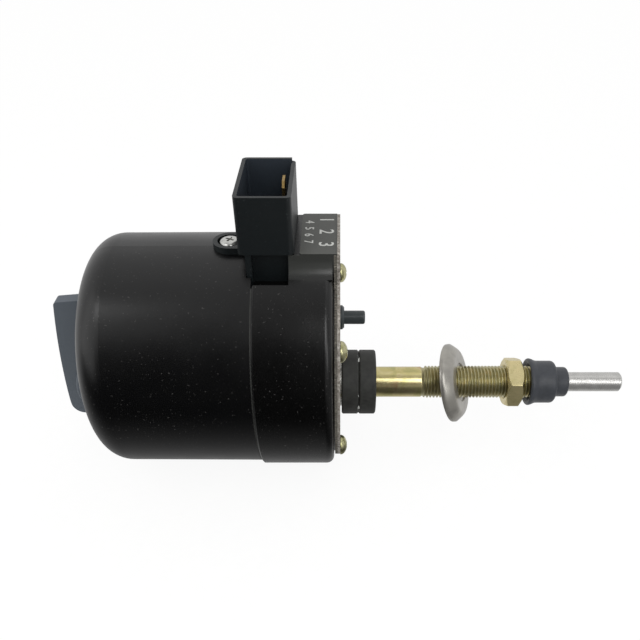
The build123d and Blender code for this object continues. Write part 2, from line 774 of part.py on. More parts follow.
# ---------------------------------------------------------------- locating peg
peg_z = body_height + peg_height
with BuildPart() as locating_peg:
    with BuildSketch(along(peg_z)):
        with BuildLine():
            Polyline((gasket_back - peg_flange_thickness, 0),
                     (gasket_back - peg_flange_thickness, peg_stem_diameter / 2),
                     (plate_face, peg_stem_diameter / 2),
                     (plate_face, peg_flange_diameter / 2),
                     (plate_face + peg_flange_thickness / 2, peg_flange_diameter / 2),
                     (plate_face + peg_flange_thickness,
                      peg_flange_diameter / 2 - peg_flange_thickness / 2),
                     (plate_face + peg_flange_thickness, peg_diameter / 2),
                     (plate_face + peg_length, peg_diameter / 2),
                     (plate_face + peg_length, 0), close=True)
        make_face()
    revolve(axis=Axis((0, 0, peg_z), (1, 0, 0)))
    fillet(locating_peg.edges().group_by(Axis.X)[-1], radius=peg_tip_round)
locating_peg.part.label = "locating_peg"
export_step(locating_peg.part, "parts/locating_peg.step")

# ---------------------------------------------------------------- rings on the bushing
with BuildPart() as collar_washer:
    with BuildSketch(at_x(plate_face)):
        Circle(collar_diameter / 2)
        Circle(bushing_diameter / 2 + seat_gap, mode=Mode.SUBTRACT)
    extrude(amount=collar_thickness)
collar_washer.part.label = "collar_washer"
export_step(collar_washer.part, "parts/collar_washer.step")

with BuildPart() as inner_pad:
    with BuildSketch(at_x(-2 * pad_thickness)):
        Circle(pad_diameter / 2)
    extrude(amount=pad_thickness)
    chamfer(inner_pad.edges(), length=pad_edge)
    with BuildSketch(at_x(-2 * pad_thickness)):
        Circle(bushing_diameter / 2 + seat_gap)
    extrude(amount=pad_thickness, mode=Mode.SUBTRACT)
inner_pad.part.label = "inner_pad"
export_step(inner_pad.part, "parts/inner_pad.step")

with BuildPart() as outer_pad:
    with BuildSketch(at_x(-pad_thickness)):
        Circle(pad_diameter / 2)
    extrude(amount=pad_thickness)
    chamfer(outer_pad.edges(), length=pad_edge)
    with BuildSketch(at_x(-pad_thickness)):
        Circle(bushing_diameter / 2 + seat_gap)
    extrude(amount=pad_thickness, mode=Mode.SUBTRACT)
outer_pad.part.label = "outer_pad"
export_step(outer_pad.part, "parts/outer_pad.step")

# ---------------------------------------------------------------- spindle bushing
with BuildPart() as spindle_bushing:
    with BuildSketch(at_x(housing_inner_front)):
        Circle(bushing_diameter / 2)
    extrude(amount=plate_face + thread_start - housing_inner_front)
    with BuildSketch(at_x(plate_back - flange_thickness)):
        Circle(flange_diameter / 2)
    extrude(amount=flange_thickness)
    with BuildSketch(at_x(plate_face + thread_start)):
        Circle(thread_diameter / 2)
    extrude(amount=thread_end - thread_start)
    chamfer(spindle_bushing.edges().group_by(Axis.X)[-1], length=thread_chamfer)
    with BuildSketch(at_x(housing_inner_front)):
        Circle(bushing_bore / 2)
    extrude(amount=plate_face + thread_end - housing_inner_front, mode=Mode.SUBTRACT)
spindle_bushing.part.label = "spindle_bushing"
export_step(spindle_bushing.part, "parts/spindle_bushing.step")

with BuildPart() as front_bush:
    with BuildSketch(at_x(plate_face + thread_end - bush_length)):
        Circle(bushing_bore / 2 - seat_gap)
        Circle(shaft_diameter / 2 + running_gap, mode=Mode.SUBTRACT)
    extrude(amount=bush_length)
front_bush.part.label = "front_bush"
export_step(front_bush.part, "parts/front_bush.step")

with BuildPart() as plate_bush:
    with BuildSketch(at_x(housing_inner_front)):
        Circle(bushing_bore / 2 - seat_gap)
        Circle(shaft_diameter / 2 + running_gap, mode=Mode.SUBTRACT)
    extrude(amount=bush_length)
plate_bush.part.label = "plate_bush"
export_step(plate_bush.part, "parts/plate_bush.step")

with BuildPart() as cover_bush:
    with BuildSketch(at_x(cover_rear + cover_wall)):
        Circle(shaft_diameter / 2 + cover_bush_wall)
        Circle(shaft_diameter / 2 + running_gap, mode=Mode.SUBTRACT)
    extrude(amount=cover_boss_length)
cover_bush.part.label = "cover_bush"
export_step(cover_bush.part, "parts/cover_bush.step")

with BuildPart() as thrust_washer:
    with BuildSketch(at_x(housing_inner_front - thrust_washer_thickness)):
        Circle(thrust_washer_diameter / 2)
        Circle(shaft_diameter / 2 + free_gap, mode=Mode.SUBTRACT)
    extrude(amount=thrust_washer_thickness)
thrust_washer.part.label = "thrust_washer"
export_step(thrust_washer.part, "parts/thrust_washer.step")

# ---------------------------------------------------------------- dished washer, nut and seal cap
washer_middle = washer_dish - washer_thickness / 2
washer_plane = Plane(
    origin=(plate_face + washer_station, -washer_middle * washer_lean[1],
            -washer_drop - washer_middle * washer_lean[2]),
    x_dir=(0, 1, 0), z_dir=washer_lean)
washer_section = Plane(origin=washer_plane.origin, x_dir=washer_plane.z_dir,
                       z_dir=washer_plane.y_dir)
washer_axis = Axis(washer_plane.origin, washer_plane.z_dir)
with BuildPart() as dished_washer:
    with BuildSketch(washer_section):
        with BuildLine():
            face_curve = ThreePointArc(
                (0, washer_diameter / 2),
                (washer_dish * washer_crown, (washer_diameter + washer_hole) / 4),
                (washer_dish, washer_hole / 2))
            Line(face_curve @ 1, (washer_dish - washer_thickness, washer_hole / 2))
            back_curve = ThreePointArc(
                (washer_dish - washer_thickness, washer_hole / 2),
                (washer_dish * washer_crown - washer_thickness,
                 (washer_diameter + washer_hole) / 4),
                (-washer_thickness, washer_diameter / 2))
            Line(back_curve @ 1, face_curve @ 0)
        make_face()
    revolve(axis=washer_axis)
dished_washer.part.label = "dished_washer"
export_step(dished_washer.part, "parts/dished_washer.step")

with BuildPart() as hex_nut:
    with BuildSketch(at_x(plate_face + nut_station)):
        RegularPolygon(nut_across_flats / 2, 6, major_radius=False, rotation=nut_turn)
    extrude(amount=nut_thickness)
    # both faces are turned to a cone that clips the corners
    with BuildSketch(along(0)):
        with BuildLine():
            Polyline((plate_face + nut_station, 0),
                     (plate_face + nut_station, nut_across_flats / 2 - nut_face_inset),
                     (plate_face + nut_station + nut_chamfer, nut_corner_radius),
                     (plate_face + nut_station + nut_thickness - nut_chamfer, nut_corner_radius),
                     (plate_face + nut_station + nut_thickness,
                      nut_across_flats / 2 - nut_face_inset),
                     (plate_face + nut_station + nut_thickness, 0), close=True)
        make_face()
    revolve(axis=Axis.X, mode=Mode.INTERSECT)
    with BuildSketch(at_x(plate_face + nut_station)):
        Circle(thread_diameter / 2 + seat_gap)
    extrude(amount=nut_thickness, mode=Mode.SUBTRACT)
    bore_edges = hex_nut.edges().filter_by(GeomType.CIRCLE).filter_by(
        lambda edge: abs(edge.radius - thread_diameter / 2 - seat_gap) < seat_gap)
    chamfer(bore_edges, length=nut_bore_chamfer)
hex_nut.part.label = "hex_nut"
export_step(hex_nut.part, "parts/hex_nut.step")

cap_thread_radius = thread_diameter / 2 + seat_gap
with BuildPart() as seal_cap:
    with BuildSketch(along(0)):
        with BuildLine():
            mouth = Polyline((plate_face + cap_body_station, cap_thread_radius),
                             (plate_face + cap_mouth_station,
                              cap_mouth_diameter / 2 - cap_wall),
                             (plate_face + cap_mouth_station,
                              cap_mouth_diameter / 2 - cap_lip_edge),
                             (plate_face + cap_lip_station, cap_mouth_diameter / 2),
                             (plate_face + cap_body_station, cap_diameter / 2),
                             (plate_face + cap_shoulder_station, cap_diameter / 2),
                             (plate_face + cap_shoulder_station, cap_collar_diameter / 2),
                             (plate_face + cap_end_station, cap_collar_diameter / 2),
                             (plate_face + cap_end_station, shaft_diameter / 2 + running_gap),
                             (plate_face + cap_shoulder_station - cap_wall,
                              shaft_diameter / 2 + running_gap),
                             (plate_face + cap_shoulder_station - cap_wall, cap_thread_radius),
                             close=True)
        make_face()
    revolve(axis=Axis.X)
    shoulder_edges = seal_cap.edges().filter_by(GeomType.CIRCLE).filter_by(
        lambda edge: edge.center().X > plate_face + cap_body_station + cap_round
        and edge.radius > cap_thread_radius + cap_wall)
    fillet(shoulder_edges, radius=cap_round)
    collar_edges = seal_cap.edges().group_by(Axis.X)[-1].sort_by(lambda edge: edge.radius)[-1]
    fillet(collar_edges, radius=cap_collar_round)
seal_cap.part.label = "seal_cap"
export_step(seal_cap.part, "parts/seal_cap.step")

# ---------------------------------------------------------------- carrier plate and its screws
with BuildPart() as carrier_plate:
    with BuildSketch(at_x(carrier_rear, 0, body_height)):
        Circle(carrier_radius)
        with Locations((0, carrier_flat)):
            Rectangle(2 * carrier_radius, 2 * carrier_radius, align=(Align.CENTER, Align.MAX),
                      mode=Mode.INTERSECT)
    extrude(amount=carrier_thickness)
    with BuildSketch(at_x(carrier_rear)):
        with Locations(*carrier_screw_places):
            Circle(carrier_screw_diameter / 2 + seat_gap)
        with Locations(first_place, second_place, crank_place):
            Circle(post_diameter / 2 + seat_gap)
        with Locations(motor_place):
            Circle(motor_bush_diameter / 2 + seat_gap)
        with Locations(*motor_screw_places):
            Circle(carrier_screw_diameter / 2 + seat_gap)
        Circle(shaft_diameter / 2 + free_gap)
    extrude(amount=carrier_thickness, mode=Mode.SUBTRACT)
carrier_plate.part.label = "carrier_plate"
export_step(carrier_plate.part, "parts/carrier_plate.step")

with BuildPart() as carrier_screws:
    with BuildSketch(at_x(carrier_rear)):
        with Locations(*carrier_screw_places):
            Circle(carrier_screw_head / 2)
    extrude(amount=-carrier_screw_head_height)
    with BuildSketch(at_x(carrier_rear)):
        with Locations(*carrier_screw_places):
            Circle(carrier_screw_diameter / 2)
    extrude(amount=carrier_screw_length)
carrier_screws.part.label = "carrier_screws"
export_step(carrier_screws.part, "parts/carrier_screws.step")

# ---------------------------------------------------------------- posts and their clips
first_clip_rear = second_wheel_front + running_gap
second_clip_rear = crank_wheel_front + running_gap
with BuildPart() as first_gear_post:
    with BuildSketch(at_x(carrier_rear)):
        with Locations(first_place):
            Circle(post_diameter / 2)
    extrude(amount=first_clip_rear + post_clip_thickness - carrier_rear)
first_gear_post.part.label = "first_gear_post"
export_step(first_gear_post.part, "parts/first_gear_post.step")

with BuildPart() as second_gear_post:
    with BuildSketch(at_x(carrier_rear)):
        with Locations(second_place):
            Circle(post_diameter / 2)
    extrude(amount=second_clip_rear + post_clip_thickness - carrier_rear)
second_gear_post.part.label = "second_gear_post"
export_step(second_gear_post.part, "parts/second_gear_post.step")

with BuildPart() as crank_post:
    with BuildSketch(at_x(carrier_rear)):
        with Locations(crank_place):
            Circle(post_diameter / 2)
    extrude(amount=crank_clip_front - carrier_rear)
crank_post.part.label = "crank_post"
export_step(crank_post.part, "parts/crank_post.step")

with BuildPart() as post_clips:
    for clip_rear, place in ((first_clip_rear, first_place), (second_clip_rear, second_place),
                             (crank_clip_rear, crank_place)):
        with BuildSketch(at_x(clip_rear)):
            with Locations(place):
                Circle(post_clip_radius)
                Circle(post_diameter / 2 + seat_gap, mode=Mode.SUBTRACT)
        extrude(amount=post_clip_thickness)
post_clips.part.label = "post_clips"
export_step(post_clips.part, "parts/post_clips.step")

# ---------------------------------------------------------------- gear train
with BuildPart() as motor_pinion:
    with BuildSketch(at_x(first_wheel_rear, *motor_place)):
        with BuildLine():
            Polyline(*gear_points(mesh_1_module, motor_pinion_teeth, 0.0), close=True)
        make_face()
        Circle(motor_nose_diameter / 2 + seat_gap, mode=Mode.SUBTRACT)
    extrude(amount=first_wheel_width)
motor_pinion.part.label = "motor_pinion"
export_step(motor_pinion.part, "parts/motor_pinion.step")

with BuildPart() as first_gear:
    with BuildSketch(at_x(first_wheel_rear, *first_place)):
        with BuildLine():
            Polyline(*gear_points(mesh_1_module, first_wheel_teeth, first_wheel_turn), close=True)
        make_face()
    extrude(amount=first_wheel_width)
    with BuildSketch(at_x(first_wheel_front, *first_place)):
        with BuildLine():
            Polyline(*gear_points(mesh_2_module, first_pinion_teeth, 0.0), close=True)
        make_face()
    extrude(amount=second_wheel_front - first_wheel_front)
    with BuildSketch(at_x(first_wheel_rear, *first_place)):
        Circle(post_diameter / 2 + running_gap)
    extrude(amount=second_wheel_front - first_wheel_rear, mode=Mode.SUBTRACT)
first_gear.part.label = "first_gear"
export_step(first_gear.part, "parts/first_gear.step")

with BuildPart() as second_gear:
    with BuildSketch(at_x(second_wheel_rear, *second_place)):
        with BuildLine():
            Polyline(*gear_points(mesh_2_module, second_wheel_teeth, second_wheel_turn), close=True)
        make_face()
    extrude(amount=second_wheel_width)
    with BuildSketch(at_x(second_wheel_front, *second_place)):
        with BuildLine():
            Polyline(*gear_points(mesh_3_module, second_pinion_teeth, 0.0), close=True)
        make_face()
    extrude(amount=crank_wheel_front - second_wheel_front)
    with BuildSketch(at_x(second_wheel_rear, *second_place)):
        Circle(post_diameter / 2 + running_gap)
    extrude(amount=crank_wheel_front - second_wheel_rear, mode=Mode.SUBTRACT)
second_gear.part.label = "second_gear"
export_step(second_gear.part, "parts/second_gear.step")

with BuildPart() as crank_wheel:
    with BuildSketch(at_x(crank_wheel_rear, *crank_place)):
        with BuildLine():
            Polyline(*gear_points(mesh_3_module, crank_wheel_teeth, crank_wheel_turn), close=True)
        make_face()
        Circle(post_diameter / 2 + running_gap, mode=Mode.SUBTRACT)
    extrude(amount=crank_wheel_width)
    with BuildSketch(at_x(crank_wheel_front, *crank_place)):
        Circle(crank_web_outer)
        Circle(crank_web_inner, mode=Mode.SUBTRACT)
    extrude(amount=-crank_web_depth, mode=Mode.SUBTRACT)
    with BuildSketch(at_x(crank_wheel_rear, *crank_pin_place)):
        Circle(link_pin_diameter / 2 + seat_gap)
    extrude(amount=crank_wheel_width, mode=Mode.SUBTRACT)
crank_wheel.part.label = "crank_wheel"
export_step(crank_wheel.part, "parts/crank_wheel.step")

with BuildPart() as crank_pin:
    with BuildSketch(at_x(crank_wheel_rear, *crank_pin_place)):
        Circle(link_pin_diameter / 2)
    extrude(amount=crank_pin_end - crank_wheel_rear)
crank_pin.part.label = "crank_pin"
export_step(crank_pin.part, "parts/crank_pin.step")

# ---------------------------------------------------------------- park switch
with BuildPart() as park_disc:
    with BuildSketch(at_x(crank_wheel_rear - park_ring_thickness, *crank_place)):
        Circle(park_ring_outer)
        Circle(park_ring_inner, mode=Mode.SUBTRACT)
        with BuildLine():
            Polyline((0, 0), (crank_wheel_teeth, 0),
                     (crank_wheel_teeth * math.cos(math.radians(park_cut_angle)),
                      crank_wheel_teeth * math.sin(math.radians(park_cut_angle))), close=True)
        make_face(mode=Mode.SUBTRACT)
    extrude(amount=park_ring_thickness)
park_disc.part.label = "park_disc"
export_step(park_disc.part, "parts/park_disc.step")

park_leaf_front = crank_wheel_rear - park_ring_thickness - free_gap
park_leaf_places = [
    Location((*polar((0, 0), park_ring_outer + park_leaf_offset, angle), 0), (0, 0, angle))
    for angle in park_leaf_angles]
with BuildPart() as park_contacts:
    with BuildSketch(at_x(carrier_front, *crank_place)):
        with Locations(*park_leaf_places):
            Rectangle(park_leaf_length, park_leaf_width, align=(Align.MIN, Align.CENTER))
    extrude(amount=park_leaf_thickness)
    with BuildSketch(at_x(carrier_front, *crank_place)):
        with Locations(*park_leaf_places):
            Rectangle(park_leaf_thickness, park_leaf_width, align=(Align.MIN, Align.CENTER))
    extrude(amount=park_leaf_front - carrier_front)
    with BuildSketch(at_x(park_leaf_front, *crank_place)):
        with Locations(*park_leaf_places):
            Rectangle(park_tip_length, park_leaf_width, align=(Align.MAX, Align.CENTER))
            Rectangle(park_leaf_thickness, park_leaf_width, align=(Align.MIN, Align.CENTER))
    extrude(amount=-park_leaf_thickness)
park_contacts.part.label = "park_contacts"
export_step(park_contacts.part, "parts/park_contacts.step")

# ---------------------------------------------------------------- wiper shaft, rocker and rod
lever_front = cover_rear - lever_gap
shaft_rear = lever_front - lever_hub_length + lever_round
with BuildPart() as wiper_shaft:
    with BuildSketch(at_x(shaft_rear)):
        Circle(shaft_diameter / 2)
    extrude(amount=plate_face + shaft_reach - shaft_rear)
    chamfer(wiper_shaft.edges().group_by(Axis.X)[-1], length=shaft_tip_chamfer)
    with BuildSketch(at_x(plate_face + thread_end + running_gap)):
        Circle(shaft_diameter / 2)
        Circle(shaft_diameter / 2 - clip_groove, mode=Mode.SUBTRACT)
    extrude(amount=clip_thickness + 2 * seat_gap, mode=Mode.SUBTRACT)
    # grease groove under the seal cap's collar
    with BuildSketch(at_x(plate_face + cap_end_station)):
        Circle(shaft_diameter / 2)
        Circle(shaft_diameter / 2 - grease_groove_depth, mode=Mode.SUBTRACT)
    extrude(amount=-grease_groove_width, mode=Mode.SUBTRACT)
    with BuildSketch(Plane(origin=(cover_rear - lever_pin_station, 0, 0), x_dir=(1, 0, 0),
                           z_dir=(0, 1, 0))):
        Circle(lever_pin_diameter / 2 + seat_gap)
    extrude(amount=shaft_diameter, both=True, mode=Mode.SUBTRACT)
wiper_shaft.part.label = "wiper_shaft"
export_step(wiper_shaft.part, "parts/wiper_shaft.step")

with BuildPart() as shaft_clip:
    with BuildSketch(at_x(plate_face + thread_end + running_gap + seat_gap)):
        Circle(clip_diameter / 2)
        Circle(shaft_diameter / 2 - clip_groove + seat_gap, mode=Mode.SUBTRACT)
        with Locations((0, -clip_diameter / 2)):
            Rectangle(shaft_diameter / 2, clip_diameter - shaft_diameter / 2, mode=Mode.SUBTRACT)
    extrude(amount=clip_thickness)
shaft_clip.part.label = "shaft_clip"
export_step(shaft_clip.part, "parts/shaft_clip.step")

with BuildPart() as rocker_lever:
    with BuildSketch(at_x(rocker_rear)):
        Circle(rocker_hub_radius)
        with Locations(rocker_place):
            Circle(rocker_eye_radius)
        make_hull()
    extrude(amount=rocker_thickness)
    with BuildSketch(at_x(rocker_front)):
        Circle(rocker_hub_radius)
    extrude(amount=-rocker_hub_length)
    with BuildSketch(at_x(rocker_front)):
        Circle(shaft_diameter / 2 + seat_gap)
        with Locations(rocker_place):
            Circle(link_pin_diameter / 2 + seat_gap)
    extrude(amount=-rocker_hub_length, mode=Mode.SUBTRACT)
rocker_lever.part.label = "rocker_lever"
export_step(rocker_lever.part, "parts/rocker_lever.step")

with BuildPart() as rocker_pin:
    with BuildSketch(at_x(rod_rear, *rocker_place)):
        Circle(rod_head_radius)
    extrude(amount=rod_head_thickness)
    with BuildSketch(at_x(rod_rear, *rocker_place)):
        Circle(link_pin_diameter / 2)
    extrude(amount=rocker_front - rod_rear)
rocker_pin.part.label = "rocker_pin"
export_step(rocker_pin.part, "parts/rocker_pin.step")

with BuildPart() as connecting_rod:
    with BuildSketch(at_x(rod_rear)):
        with Locations(rocker_place):
            Circle(rod_eye_radius)
        with Locations(crank_pin_place):
            Circle(crank_eye_radius)
        with Locations(Location((rocker_place[0], rocker_place[1], 0), (0, 0, rod_angle))):
            Rectangle(rod_length, rod_width, align=(Align.MIN, Align.CENTER))
        with Locations(rocker_place, crank_pin_place):
            Circle(link_pin_diameter / 2 + running_gap, mode=Mode.SUBTRACT)
    extrude(amount=rod_thickness)
    with BuildSketch(at_x(rod_rear, *rocker_place)):
        Circle(rod_head_radius + running_gap)
    extrude(amount=rod_head_thickness + running_gap, mode=Mode.SUBTRACT)
connecting_rod.part.label = "connecting_rod"
export_step(connecting_rod.part, "parts/connecting_rod.step")

# ---------------------------------------------------------------- hand lever and its pin
with BuildPart() as hand_lever:
    with BuildSketch(Plane(origin=(0, lever_thickness / 2, 0), x_dir=(1, 0, 0),
                           z_dir=(0, -1, 0))) as lever_outline:
        with BuildLine():
            Polyline((cover_rear - lever_rear_bottom, lever_low_height),
                     (cover_rear - lever_rear_bottom, -lever_bottom),
                     (lever_front, -lever_bottom),
                     (lever_front, lever_top),
                     (cover_rear - lever_rear_top, lever_top - lever_top_slope))
            ThreePointArc((cover_rear - lever_rear_top, lever_top - lever_top_slope),
                          (cover_rear - lever_rear_mid, lever_mid_height),
                          (cover_rear - lever_rear_bottom, lever_low_height))
        make_face()
        fillet(lever_outline.vertices().sort_by_distance(
            (cover_rear - lever_rear_top, lever_top - lever_top_slope, 0))[0],
            radius=lever_top_corner)
        fillet(lever_outline.vertices().sort_by_distance(
            (cover_rear - lever_rear_bottom, -lever_bottom, 0))[0], radius=lever_low_corner)
    extrude(amount=lever_thickness)
    with BuildSketch(at_x(lever_front)):
        Circle(lever_hub_radius)
    extrude(amount=-lever_hub_length)
    fillet(hand_lever.edges().filter_by(GeomType.CIRCLE).filter_by(
        lambda edge: abs(edge.radius - lever_hub_radius) < seat_gap).group_by(Axis.X)[0],
        radius=lever_round)
    with BuildSketch(at_x(lever_front)):
        Circle(shaft_diameter / 2 + seat_gap)
    extrude(amount=-(lever_hub_length - lever_round + running_gap), mode=Mode.SUBTRACT)
    with BuildSketch(Plane(origin=(cover_rear - lever_pin_station, 0, 0), x_dir=(1, 0, 0),
                           z_dir=(0, 1, 0))):
        Circle(lever_pin_diameter / 2 + seat_gap)
    extrude(amount=lever_hub_radius, both=True, mode=Mode.SUBTRACT)
hand_lever.part.label = "hand_lever"
export_step(hand_lever.part, "parts/hand_lever.step")

with BuildPart() as lever_pin:
    with BuildSketch(Plane(origin=(cover_rear - lever_pin_station, 0, 0), x_dir=(1, 0, 0),
                           z_dir=(0, 1, 0))):
        Circle(lever_pin_diameter / 2)
    extrude(amount=lever_hub_radius - seat_gap, both=True)
lever_pin.part.label = "lever_pin"
export_step(lever_pin.part, "parts/lever_pin.step")

# ---------------------------------------------------------------- motor
with BuildPart() as motor_can:
    with BuildSketch(at_x(can_rear, *motor_place)):
        Circle(can_radius)
    extrude(amount=can_length)
    fillet(motor_can.edges().group_by(Axis.X)[0], radius=can_corner)
    with BuildSketch(at_x(can_rear, *motor_place)):
        Circle(can_boss_radius)
    extrude(amount=-can_boss_length)
    with BuildSketch(at_x(can_rear + can_wall, *motor_place)):
        Circle(can_inner)
    extrude(amount=can_length - can_wall, mode=Mode.SUBTRACT)
    with BuildSketch(at_x(can_rear + can_wall, *motor_place)):
        Circle(motor_bush_diameter / 2 + seat_gap)
    extrude(amount=-motor_bush_length, mode=Mode.SUBTRACT)
motor_can.part.label = "motor_can"
export_step(motor_can.part, "parts/motor_can.step")

with BuildPart() as motor_rear_bush:
    with BuildSketch(at_x(can_rear + can_wall, *motor_place)):
        Circle(motor_bush_diameter / 2)
        Circle(motor_shaft_diameter / 2 + running_gap, mode=Mode.SUBTRACT)
    extrude(amount=-motor_bush_length)
motor_rear_bush.part.label = "motor_rear_bush"
export_step(motor_rear_bush.part, "parts/motor_rear_bush.step")

card_front = carrier_rear - end_cap_thickness - end_cap_spigot
card_rear = card_front - brush_card_thickness
with BuildPart() as motor_end_cap:
    with BuildSketch(at_x(carrier_rear, *motor_place)):
        Circle(end_cap_radius)
    extrude(amount=-end_cap_thickness)
    with BuildSketch(at_x(can_front, *motor_place)):
        Circle(can_inner - seat_gap)
        Circle(can_inner - end_cap_ring, mode=Mode.SUBTRACT)
    extrude(amount=card_front - can_front)
    with BuildSketch(at_x(carrier_rear)):
        with Locations(motor_place):
            Circle(motor_bush_diameter / 2 + seat_gap)
        with Locations(*motor_screw_places):
            Circle(carrier_screw_diameter / 2 + seat_gap)
    extrude(amount=-end_cap_thickness, mode=Mode.SUBTRACT)
motor_end_cap.part.label = "motor_end_cap"
export_step(motor_end_cap.part, "parts/motor_end_cap.step")

with BuildPart() as motor_screws:
    with BuildSketch(at_x(carrier_front)):
        with Locations(*motor_screw_places):
            Circle(carrier_screw_head / 2)
    extrude(amount=carrier_screw_head_height)
    with BuildSketch(at_x(carrier_front)):
        with Locations(*motor_screw_places):
            Circle(carrier_screw_diameter / 2)
    extrude(amount=-(carrier_thickness + end_cap_thickness))
motor_screws.part.label = "motor_screws"
export_step(motor_screws.part, "parts/motor_screws.step")

with BuildPart() as motor_front_bush:
    with BuildSketch(at_x(carrier_front, *motor_place)):
        Circle(motor_bush_diameter / 2)
        Circle(motor_shaft_diameter / 2 + running_gap, mode=Mode.SUBTRACT)
    extrude(amount=-(carrier_thickness + end_cap_thickness))
motor_front_bush.part.label = "motor_front_bush"
export_step(motor_front_bush.part, "parts/motor_front_bush.step")

magnet_length = core_length + 2 * magnet_overhang
magnet_front = core_front + magnet_overhang
with BuildPart() as field_magnets:
    for side in (0, 180):
        with BuildSketch(at_x(magnet_front - magnet_length, *motor_place)):
            Circle(can_inner - seat_gap)
            Circle(can_inner - magnet_thickness, mode=Mode.SUBTRACT)
            with BuildLine():
                Polyline((0, 0), polar((0, 0), 2 * can_radius, side - magnet_half_angle),
                         polar((0, 0), 4 * can_radius, side),
                         polar((0, 0), 2 * can_radius, side + magnet_half_angle), close=True)
            make_face(mode=Mode.INTERSECT)
        extrude(amount=magnet_length)
field_magnets.part.label = "field_magnets"
export_step(field_magnets.part, "parts/field_magnets.step")

# ---------------------------------------------------------------- armature
with BuildPart() as armature_shaft:
    with BuildSketch(at_x(can_rear - can_boss_length + free_gap + end_play, *motor_place)):
        Circle(motor_shaft_diameter / 2)
    extrude(amount=carrier_front - can_rear + can_boss_length - free_gap - end_play)
    with BuildSketch(at_x(carrier_front, *motor_place)):
        Circle(motor_nose_diameter / 2)
    extrude(amount=first_wheel_front - carrier_front)
armature_shaft.part.label = "armature_shaft"
export_step(armature_shaft.part, "parts/armature_shaft.step")

core_radius = can_inner - magnet_thickness - air_gap
slot_middle = (slot_root_radius + core_radius - tooth_tip_thickness) / 2
slot_depth = core_radius - tooth_tip_thickness - slot_root_radius
with BuildPart() as armature_core:
    with BuildSketch(at_x(core_front - core_length, *motor_place)):
        Circle(core_radius)
        with PolarLocations(slot_middle, core_slots):
            Rectangle(slot_depth, slot_width, mode=Mode.SUBTRACT)
        with PolarLocations(core_radius - tooth_tip_thickness / 2, core_slots):
            Rectangle(2 * tooth_tip_thickness, slot_mouth, mode=Mode.SUBTRACT)
        Circle(motor_shaft_diameter / 2 + seat_gap, mode=Mode.SUBTRACT)
    extrude(amount=core_length)
armature_core.part.label = "armature_core"
export_step(armature_core.part, "parts/armature_core.step")

with BuildPart() as armature_windings:
    with BuildSketch(at_x(core_front - core_length - winding_reach, *motor_place)):
        with PolarLocations(slot_middle, core_slots):
            Rectangle(slot_depth - 2 * seat_gap, slot_width - 2 * seat_gap)
    extrude(amount=core_length + 2 * winding_reach)
    for end in (core_front - core_length - winding_reach, core_front):
        with BuildSketch(at_x(end, *motor_place)):
            Circle(core_radius - tooth_tip_thickness)
            Circle(slot_root_radius - slot_mouth, mode=Mode.SUBTRACT)
        extrude(amount=winding_reach)
armature_windings.part.label = "armature_windings"
export_step(armature_windings.part, "parts/armature_windings.step")

commutator_front = can_front - commutator_setback
with BuildPart() as commutator:
    with BuildSketch(at_x(commutator_front - commutator_length, *motor_place)):
        Circle(commutator_radius)
        with PolarLocations(commutator_radius, commutator_segments):
            Rectangle(2 * commutator_gap, commutator_gap, mode=Mode.SUBTRACT)
        Circle(motor_shaft_diameter / 2 + seat_gap, mode=Mode.SUBTRACT)
    extrude(amount=commutator_length)
commutator.part.label = "commutator"
export_step(commutator.part, "parts/commutator.step")

# ---------------------------------------------------------------- brush gear
with BuildPart() as brush_card:
    with BuildSketch(at_x(card_rear, *motor_place)):
        Circle(can_inner - brush_card_inset)
        Circle(commutator_radius + brush_card_gap, mode=Mode.SUBTRACT)
    extrude(amount=brush_card_thickness)
brush_card.part.label = "brush_card"
export_step(brush_card.part, "parts/brush_card.step")

with BuildPart() as brushes:
    with BuildSketch(at_x(card_rear, *motor_place)):
        for side in (-1, 1):
            with Locations((side * (commutator_radius + brush_gap + brush_length / 2), 0)):
                Rectangle(brush_length, brush_thickness)
        Circle(commutator_radius + brush_gap, mode=Mode.SUBTRACT)
    extrude(amount=-brush_width)
brushes.part.label = "brushes"
export_step(brushes.part, "parts/brushes.step")

brush_back = commutator_radius + brush_gap + brush_length
with BuildPart() as brush_springs:
    with BuildSketch(at_x(card_rear, *motor_place)):
        for side in (-1, 1):
            with Locations((side * brush_back, 0)):
                Rectangle(spring_strip, spring_rise,
                          align=(Align.MAX if side < 0 else Align.MIN, Align.MIN))
            with Locations((side * (brush_back + spring_strip), spring_rise)):
                Rectangle(spring_foot, spring_strip,
                          align=(Align.MIN if side < 0 else Align.MAX, Align.MIN))
    extrude(amount=-spring_width)
brush_springs.part.label = "brush_springs"
export_step(brush_springs.part, "parts/brush_springs.step")

# ---------------------------------------------------------------- noise capacitor
with BuildPart() as noise_capacitor:
    with BuildSketch(at_x(carrier_rear, capacitor_y, body_height + capacitor_z)):
        RectangleRounded(capacitor_size[0], capacitor_size[1], capacitor_corner)
    extrude(amount=-capacitor_size[2])
noise_capacitor.part.label = "noise_capacitor"
export_step(noise_capacitor.part, "parts/noise_capacitor.step")
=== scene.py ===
# %% [markdown]
# # A wiper motor, dressed over its CAD frame
#
# A wiper motor turns a small shaft back and forth through a vehicle's panel. Two pads clamp the
# panel, a nut holds them on a long threaded bushing, and a rubber cap keeps water out of the
# shaft. The solids come from a CAD model, and this lesson gives them edges, threads and finishes.
# The first lines load that model, which stays where it is.

# %% Load the frame
import math
import bmesh
import bpy
from mathutils import Matrix, Vector


